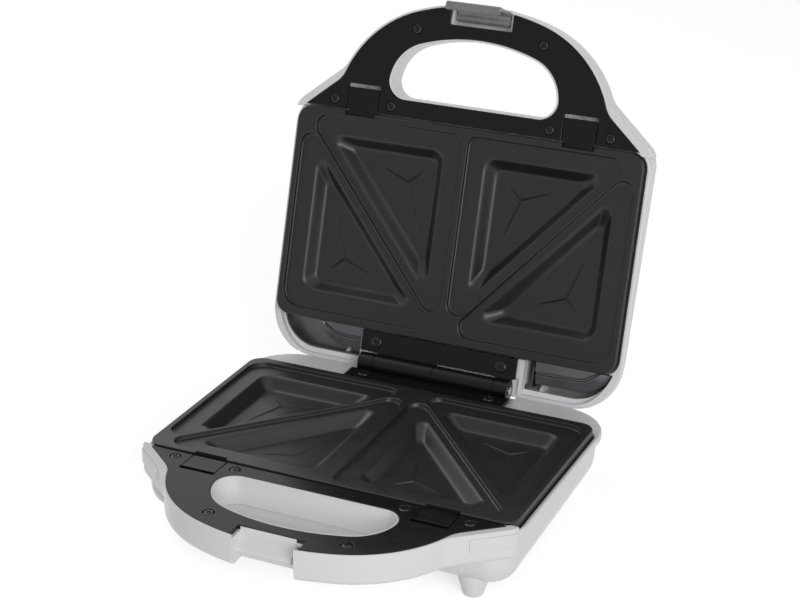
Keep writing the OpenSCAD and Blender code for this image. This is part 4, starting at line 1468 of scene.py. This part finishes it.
@dataclass
class HingePin:
    """Steel pin through all four knuckles, with a low head at its right end."""

    radius: float = 2.0
    head_r: float = 2.6
    ends: Point2 = (-49.0, 50.6)

    def make(self, shop: Workshop) -> bpy.types.Object:
        """Builds and finishes the pin.

        Args:
            shop: The workshop.

        Returns:
            The piece.
        """
        x0, x1 = self.ends
        r, head = self.radius, self.head_r
        rod = Blank.turned([(r - 0.3, x0), (r, x0 + 0.3), (r, x1 - 1.05), (head, x1 - 1.0), (head, x1 - 0.6),
                            (head * 0.8, x1 - 0.25), (head * 0.45, x1 - 0.05), (0.2, x1)],
                           (0, PLACING.hinge_y, 0), "X")
        return shop.piece(rod, Half.BASE, "rod", "pin_steel", "hinge_pin")


# ---------- screws ----------


class ScrewTree:
    """Geometry Nodes tree that sets a screw on each point, each turned its own way."""

    def __init__(self) -> None:
        """Builds the tree."""
        self.tree = bpy.data.node_groups.new("screw_set", "GeometryNodeTree")
        face = self.tree.interface
        face.new_socket("Geometry", in_out="INPUT", socket_type="NodeSocketGeometry")
        for name, kind in (("Screw", "NodeSocketObject"), ("Finish", "NodeSocketMaterial"),
                           ("Seed", "NodeSocketInt")):
            face.new_socket(name, in_out="INPUT", socket_type=kind)
        face.new_socket("Geometry", in_out="OUTPUT", socket_type="NodeSocketGeometry")
        new, link = self.tree.nodes.new, self.tree.links.new
        start, end = new("NodeGroupInput"), new("NodeGroupOutput")
        info, turn, spin = new("GeometryNodeObjectInfo"), new("FunctionNodeRandomValue"), new("ShaderNodeCombineXYZ")
        place, real, paint = (new(f"GeometryNode{kind}")
                              for kind in ("InstanceOnPoints", "RealizeInstances", "SetMaterial"))
        limits = [s for s in turn.inputs if s.type == "VALUE" and s.enabled]
        limits[0].default_value, limits[1].default_value = 0.0, math.pi / 2
        link(start.outputs["Screw"], info.inputs["Object"])
        link(start.outputs["Seed"], turn.inputs["Seed"])
        link([s for s in turn.outputs if s.enabled][0], spin.inputs["Z"])
        link(start.outputs["Geometry"], place.inputs["Points"])
        link(info.outputs["Geometry"], place.inputs["Instance"])
        link(spin.outputs[0], place.inputs["Rotation"])
        link(place.outputs[0], real.inputs[0])
        link(real.outputs[0], paint.inputs["Geometry"])
        link(start.outputs["Finish"], paint.inputs["Material"])
        link(paint.outputs[0], end.inputs["Geometry"])

    def run(self, points: Sequence[Point3], values: dict[str, object]) -> Blank:
        """Sets the screws.

        Args:
            points: Where the tops of their heads are.
            values: The tree's inputs by name.

        Returns:
            One blank with all of them.
        """
        carrier = Blank(points, [])
        mod = carrier.obj.modifiers.new("screws", "NODES")
        mod.node_group = self.tree
        for item in self.tree.interface.items_tree:
            if item.item_type == "SOCKET" and item.in_out == "INPUT" and item.name in values:
                mod[item.identifier] = values[item.name]
        carrier.settle()
        return carrier


@dataclass
class Screws:
    """All cross-head screws, set by one Geometry Nodes tree."""

    shank_r: float = 1.45
    slot_half: float = 0.42

    def pattern(self, head_r: float, head_h: float, length: float) -> Blank:
        """Builds one screw with its head's top at z = 0.

        Args:
            head_r: Radius of its head.
            head_h: Height of its head.
            length: Length of its shank.

        Returns:
            The screw.
        """
        dome = [(head_r * 0.93, -head_h), (head_r, -head_h * 0.8), (head_r * 0.99, -head_h * 0.55),
                (head_r * 0.93, -head_h * 0.28), (head_r * 0.8, -head_h * 0.1), (head_r * 0.5, -0.02), (0.2, 0.0)]
        screw = Blank.turned([(self.shank_r * 0.6, -head_h - length), (self.shank_r, -head_h - length + 1),
                              (self.shank_r, -head_h)] + dome, (0, 0, 0), "Z", 32)
        long, wide = head_r * 0.66, self.slot_half
        return screw.cut(*[
            Blank.stacked(lambda k, u=u, v=v: [(-u * k, -v * k), (u * k, -v * k), (u * k, v * k), (-u * k, v * k)],
                          [(0.5, -0.9), (1, 0.2)]) for u, v in ((long, wide), (wide, long))])

    def make(self, shop: Workshop) -> None:
        """Builds every set of screws on both halves.

        Args:
            shop: The workshop.
        """
        tree = ScrewTree()
        sets = [("trim_screws", [(s * x, y) for x, y in TRIM_SCREWS for s in (-1, 1)], COVER_TOP, (3.0, 1.2, 6.7)),
                ("hinge_screws", [(s * HINGE_SCREW[0], HINGE_SCREW[1]) for s in (-1, 1)], -0.4, (3.6, 0.9, 7.0)),
                ("reflector_screws", [(s * x, y) for s in (-1, 1) for x, y in PAN_SCREWS], -6.0, (2.6, 1.0, 6.7))]
        for index, (name, places, top, sizes) in enumerate(sets):
            finish = "catch_steel" if name == "reflector_screws" else "fastener_black"
            points = [(x, y, top) for x, y in places]
            pattern = self.pattern(*sizes)
            for half in Half:
                values = {"Screw": pattern.obj, "Finish": shop.material(finish), "Seed": 3 + index}
                shop.piece(tree.run(points, values), half, "set", finish, f"{half.value}_{name}", smooth_deg=35)
            bpy.data.objects.remove(pattern.obj)


# ---------- clips and latch ----------


@dataclass
class PlateClip:
    """Sliding clip that lets a plate go, with a raised bar on its thumb pad."""

    half: Half
    side: int

    def make(self, shop: Workshop) -> bpy.types.Object:
        """Builds and finishes the clip.

        Args:
            shop: The workshop.

        Returns:
            The piece.
        """
        w, y0, y1 = CLIP.width / 2, CLIP.front - CLIP.length, CLIP.front
        x = self.side * CLIP.x
        pad = Blank.block((x - w, y0, COVER_BOTTOM - 0.4), (x + w, y1, COVER_TOP), 0.35)
        parts = [Blank.block((x - w, y0, COVER_TOP - 0.6), (x + w, y0 + 3.2, COVER_TOP + 0.12), 0.3),
                 Blank.block((x - w + 3.5, y0 + 0.1, -10), (x + w - 3.5, y1 - 3, COVER_BOTTOM), 0.2),
                 Blank.block((x - w + 1.6, y1 - 1, -3.6), (x + w - 1.6, 1.8, -2.2), 0.25)]
        name = f"{self.half.value}_clip_{'left' if self.side < 0 else 'right'}"
        return shop.piece(pad.beside(*parts), self.half, "slider", "clip_black", name, body=name)


@dataclass
class Latch:
    """Smoked latch that hangs on its pin in the lid's handle."""

    half_w: float = 17.25
    pin_y: float = -66.2
    pin_z: float = -8.0
    thickness: float = 2.2
    rest_deg: float = 8.5

    def make(self, shop: Workshop) -> bpy.types.Object:
        """Builds and finishes the latch.

        Args:
            shop: The workshop.

        Returns:
            The piece.
        """
        out = self.pin_y - 5
        lip = 14.3
        profile = [(out + 0.6, self.pin_z - 2.6), (self.pin_y, self.pin_z - 2.6), (self.pin_y, self.pin_z + 2.6),
                   (out + self.thickness, self.pin_z + 4.5), (out + self.thickness, lip - 0.4),
                   (out + self.thickness + 0.4, lip), (self.pin_y - 0.4, lip + 0.1), (self.pin_y + 0.35, lip + 0.8),
                   (self.pin_y - 0.2, lip + 2.1), (self.pin_y - 1.4, lip + 2.6), (out + 1.6, lip + 2.6),
                   (out + 0.5, lip + 2.1), (out, lip + 1.2), (out, self.pin_z - 1.8)]
        body = Blank.along_x(profile, -self.half_w, self.half_w, 0.3)
        w = self.half_w
        eye = Blank.turned([(3.1, -w), (3.4, -w + 0.3), (3.4, w - 0.3), (3.1, w)], (0, self.pin_y, self.pin_z), "X")
        body.add(eye).cut(Blank.turned([(1.65, -30), (1.65, 30)], (0, self.pin_y, self.pin_z), "X", 32))
        pin = Matrix.Translation((0, self.pin_y, self.pin_z))
        body.moved(pin @ Matrix.Rotation(math.radians(self.rest_deg), 4, "X") @ pin.inverted())
        return shop.piece(body, Half.LID, "moulding", "latch_smoke", "latch", body="latch")


# ---------- inside ----------


@dataclass
class Reflector:
    """Sheet pan under a plate that holds the heater; the lid's one shows behind its plate."""

    half: Half
    sheet: float = 0.8
    floor_z: float = -24.0
    well_half: float = 98.0
    well_y: Point2 = (13.0, 119.2)
    terminal_y: Point2 = (38.1, 94.1)

    def make(self, shop: Workshop) -> bpy.types.Object:
        """Builds and finishes the reflector.

        Args:
            shop: The workshop.

        Returns:
            The piece.
        """
        t = self.sheet
        pan = Blank.prism(rounded_rect(113.5, -0.5, 132.9, 9), -7.8, -7.8 + t)
        pan.add(Blank.prism(rounded_rect(self.well_half, *self.well_y, 12), self.floor_z, -7.7))
        (front, rear), low = self.well_y, self.floor_z + t
        cuts = [Blank.stacked(lambda g: rounded_rect(self.well_half - t + g, front + t - g, rear - t + g, 11.2 + g),
                              [(-2.0, low), (-0.6, low + 0.6), (0, low + 2), (0, -7.6), (0.5, -6.9), (0.5, 5)])]
        for place in PAN_SCREWS:
            cuts += both(Blank.rod(1.6, -9, -6, place))
        for y in self.terminal_y:
            cuts.append(Blank.turned([(3.6, 95), (3.6, 101)], (0, y, -16.6), "X", 32))
        pan.cut(*cuts)
        if self.half is Half.LID:
            pan.beside(*self.tail())
        return shop.piece(pan, self.half, "pan", "reflector_sheet", f"{self.half.value}_reflector")

    def tail(self) -> list[Blank]:
        """Builds the folded apron that shows behind the lid's plate, on each side of the hinge, and a dark sheet tray
        in the left rear corner that stands for the shade there (painted shade).

        Returns:
            The folds, the thin strip and the painted-shade liner.
        """
        outlines = {
            1: ([(62.5, 147.6), (68.8, 147.3), (81.3, 147.0), (90.0, 146.9), (95.5, 146.3), (101.4, 144.2),
                 (106.2, 140.1), (108.6, 137.0), (109.8, 133.6)],
                [(62.5, 139.2), (66.9, 139.1), (77.1, 138.7), (85.0, 138.7), (90.3, 138.5), (93.2, 137.8),
                 (95.9, 136.4), (98.3, 134.8), (100.4, 133.5)]),
            -1: ([(52.2, 147.0), (64.5, 147.7), (69.0, 147.1), (72.8, 145.9), (76.8, 144.0), (80.7, 141.4),
                  (84.0, 138.6), (86.2, 136.2), (88.0, 133.6)],
                 [(52.2, 138.9), (62.0, 138.9), (67.0, 138.7), (70.7, 138.1), (73.2, 137.2), (75.4, 136.2),
                  (77.0, 135.3), (78.4, 134.4), (79.4, 133.5)])}
        top = [(-0.9, -5.2), (-0.06, -5.2), (0.0, -5.5), (0.04, -7.4), (0.10, -7.7), (0.18, -7.6), (0.24, -6.9),
               (0.30, -6.8), (0.88, -9.0), (0.95, -9.25), (0.99, -9.8), (1.0, -10.6), (1.0, -17.0)]
        profile = top + [(s - (0.06 if z < -9.1 else 0.0), z - (0.0 if z < -12 else self.sheet)) for s, z in top[::-1]]
        parts: list[Blank] = []
        for side, (outer, inner) in outlines.items():
            rings: list[list[Point3]] = []
            for (ox, oy), (ix, iy) in zip(outer, inner):
                rings.append([(side * (ix + (ox - ix) * max(s, 0.0)), iy + (oy - iy) * s if s > 0 else iy + s * 7, z)
                              for s, z in profile])
            parts.append(Blank.lofted(rings).outward())
        parts.append(Blank.block((60.2, 136.5, -19), (60.8, 149.5, -7.6), 0.15))
        # Dark sheet tray lining the lid's left rear corner under the apron: painted shade, a dark sheet standing for
        # the shade deep in that corner of the cavity.
        inset = CASE.rim_step + 2.6
        shade_liner, shade_liner_hollow = ([(-x, y) for x, y in CASE.bay(inset + g, 53.0 + g, 133.0 + g)][::-1]
                       for g in (0.0, self.sheet))
        parts.append(Blank.prism(shade_liner, -17.6, -9.5).cut(Blank.prism(shade_liner_hollow, -17.0, -8)))
        return parts


@dataclass
class PlateCatches:
    """Steel brackets with windows for the plates' rear tabs."""

    half: Half

    def make(self, shop: Workshop) -> bpy.types.Object:
        """Builds and finishes the brackets.

        Args:
            shop: The workshop.

        Returns:
            The piece.
        """
        bracket = Blank.block((63, 133.6, -9), (81, 134.8, -5.65), 0.2)
        bracket.cut(Blank.block((64.1, 120, -7.2), (79.9, 150, -5.0), 0.2))
        return shop.piece(bracket.beside(bracket.mirror_x()), self.half, "brackets", "catch_steel",
                          f"{self.half.value}_plate_catches")


KEPT_NODES: dict[str, str] = {
    "latch_pin": "pin_steel", "thermostat": "thermostat_body", "thermal_fuse": "fuse_metal",
    "terminal_block": "ceramic_white", "cord_gland": "gland_black", "lamp_lens_red": "lens_red",
    "lamp_lens_green": "lens_green", "lamp_bulbs": "lamp_glass", "lamp_board": "board_green",
} | {f"{half.value}_{name}": finish for half in Half for name, finish in (
    ("wiring", "wire_red"), ("clip_spring_left", "spring_steel"), ("clip_spring_right", "spring_steel"),
    ("heater", "tube_steel"), ("heater_clamps", "catch_steel"), ("heater_terminals", "ceramic_white"))}


# ---------- light, floor and camera ----------


@dataclass
class Studio:
    """Pale floor, soft lights, world and camera."""

    camera_place: Point3 = (0.44062, -0.96769, 0.57627)
    camera_deg: Point3 = (67.3974, -0.8012, 24.1936)
    focal_px: float = 2025.5
    centre_px: Point2 = (406.34, 291.93)
    frame_px: tuple[int, int] = (800, 600)
    sensor_mm: float = 36.0
    aim: Point3 = (0.0, 0.0, 0.08)
    floor_half: float = 4.0
    floor_lift: float = 0.58
    world_level: float = 0.30
    dark_front: float = 0.5

    def camera(self) -> None:
        """Sets up the camera."""
        data = bpy.data.cameras.new("camera")
        (width, height), (cx, cy) = self.frame_px, self.centre_px
        data.sensor_width = self.sensor_mm
        data.lens = self.focal_px * self.sensor_mm / width
        data.shift_x, data.shift_y = (width / 2 - cx) / width, (cy - height / 2) / width
        data.clip_start, data.clip_end = 0.05, 50
        obj = bpy.data.objects.new("camera", data)
        obj.location = self.camera_place
        obj.rotation_euler = [math.radians(a) for a in self.camera_deg]
        bpy.context.scene.collection.objects.link(obj)
        bpy.context.scene.camera = obj

    def seen(self, graph: Graph) -> Socket:
        """Gives 1 for camera, glossy and transmission rays.

        Args:
            graph: The graph.

        Returns:
            The factor.
        """
        path = graph.node("LightPath")
        total: Socket = path.outputs["Is Camera Ray"]
        for name in ("Is Glossy Ray", "Is Transmission Ray"):
            join = graph.node("Math")
            join.operation = "MAXIMUM"
            graph.link(total, join.inputs[0])
            graph.link(path.outputs[name], join.inputs[1])
            total = join.outputs[0]
        return total

    def pick(self, graph: Graph, unseen: bpy.types.Node, seen: bpy.types.Node, output: str) -> None:
        """Ends a graph in one shader where it is seen and another one where it only lights.

        Args:
            graph: The graph.
            unseen: The shader that only lights.
            seen: The shader that is seen.
            output: Type of the output node.
        """
        pick = graph.node("MixShader")
        for index, source in enumerate((self.seen(graph), unseen.outputs[0], seen.outputs[0])):
            graph.link(source, pick.inputs[index])
        graph.link(pick.outputs[0], graph.node(output).inputs["Surface"])

    def floor(self) -> None:
        """Lays the pale floor, which keeps the toaster's shadow."""
        s = self.floor_half
        mesh = bpy.data.meshes.new("floor")
        mesh.from_pydata([(-s, -s, 0), (s, -s, 0), (s, s, 0), (-s, s, 0)], [], [(0, 1, 2, 3)])
        obj = bpy.data.objects.new("floor", mesh)
        bpy.context.scene.collection.objects.link(obj)
        material = bpy.data.materials.new("floor_paper")
        graph = Graph(material)
        plain = graph.node("BsdfDiffuse", Color=(0.86, 0.86, 0.86, 1))
        lifted = graph.node("AddShader")
        graph.link(plain.outputs[0], lifted.inputs[0])
        graph.link(graph.node("Emission", Strength=self.floor_lift).outputs[0], lifted.inputs[1])
        self.pick(graph, plain, lifted, "OutputMaterial")
        mesh.materials.append(material)

    def world(self) -> None:
        """Sets an even pale world, brighter and shaded to the front where it is seen."""
        world = bpy.data.worlds.new("world")
        bpy.context.scene.world = world
        graph = Graph(world)
        white = (1, 1, 1, 1)
        soft = graph.node("Background", Color=white, Strength=self.world_level)
        backdrop = graph.node("Background", Color=white)
        split = graph.node("SeparateXYZ")
        span = graph.node("MapRange", From_Min=-0.75, From_Max=-0.1, To_Min=self.dark_front, To_Max=1.0)
        graph.link(graph.node("TexCoord").outputs["Generated"], split.inputs[0])
        graph.link(split.outputs["Y"], span.inputs["Value"])
        graph.link(span.outputs["Result"], backdrop.inputs["Strength"])
        self.pick(graph, soft, backdrop, "OutputWorld")

    def lamp(self, name: str, place: Point3, size: Point2, watts: float) -> None:
        """Hangs a soft area lamp that points at the toaster.

        Args:
            name: Name of the lamp.
            place: Where it hangs.
            size: Its width and height.
            watts: Its power.
        """
        data = bpy.data.lights.new(name, "AREA")
        data.shape, data.size, data.size_y, data.energy = "RECTANGLE", size[0], size[1], watts
        obj = bpy.data.objects.new(name, data)
        obj.location = place
        obj.rotation_euler = (Vector(self.aim) - Vector(place)).to_track_quat("-Z", "Y").to_euler()
        bpy.context.scene.collection.objects.link(obj)

    def build(self) -> None:
        """Sets up camera, floor, world and lamps."""
        bpy.context.scene.view_settings.view_transform = "Standard"
        self.camera()
        self.floor()
        self.world()
        self.lamp("key", (1.5, -1.8, 0.95), (1.4, 1.2), 31)
        self.lamp("rim", (-1.4, 0.6, 1.6), (0.9, 1.2), 8)
        LOG.info("studio ready")


def main() -> None:
    """Builds the studio and every piece in order."""
    logging.basicConfig(level=logging.INFO, format="%(name)s: %(message)s")
    Studio().build()
    shop = Workshop()
    for half in Half:
        CasingShell(half).make(shop)
        HandleCover(half).make(shop)
        CookingPlate(half).make(shop)
        HingeLeaf(half).make(shop)
        Reflector(half).make(shop)
        PlateCatches(half).make(shop)
        for side in (-1, 1):
            PlateClip(half, side).make(shop)
    HingePin().make(shop)
    Screws().make(shop)
    Latch().make(shop)
    for node, finish in KEPT_NODES.items():
        shop.dress_node(node, finish)


if __name__ == "__main__":
    main()
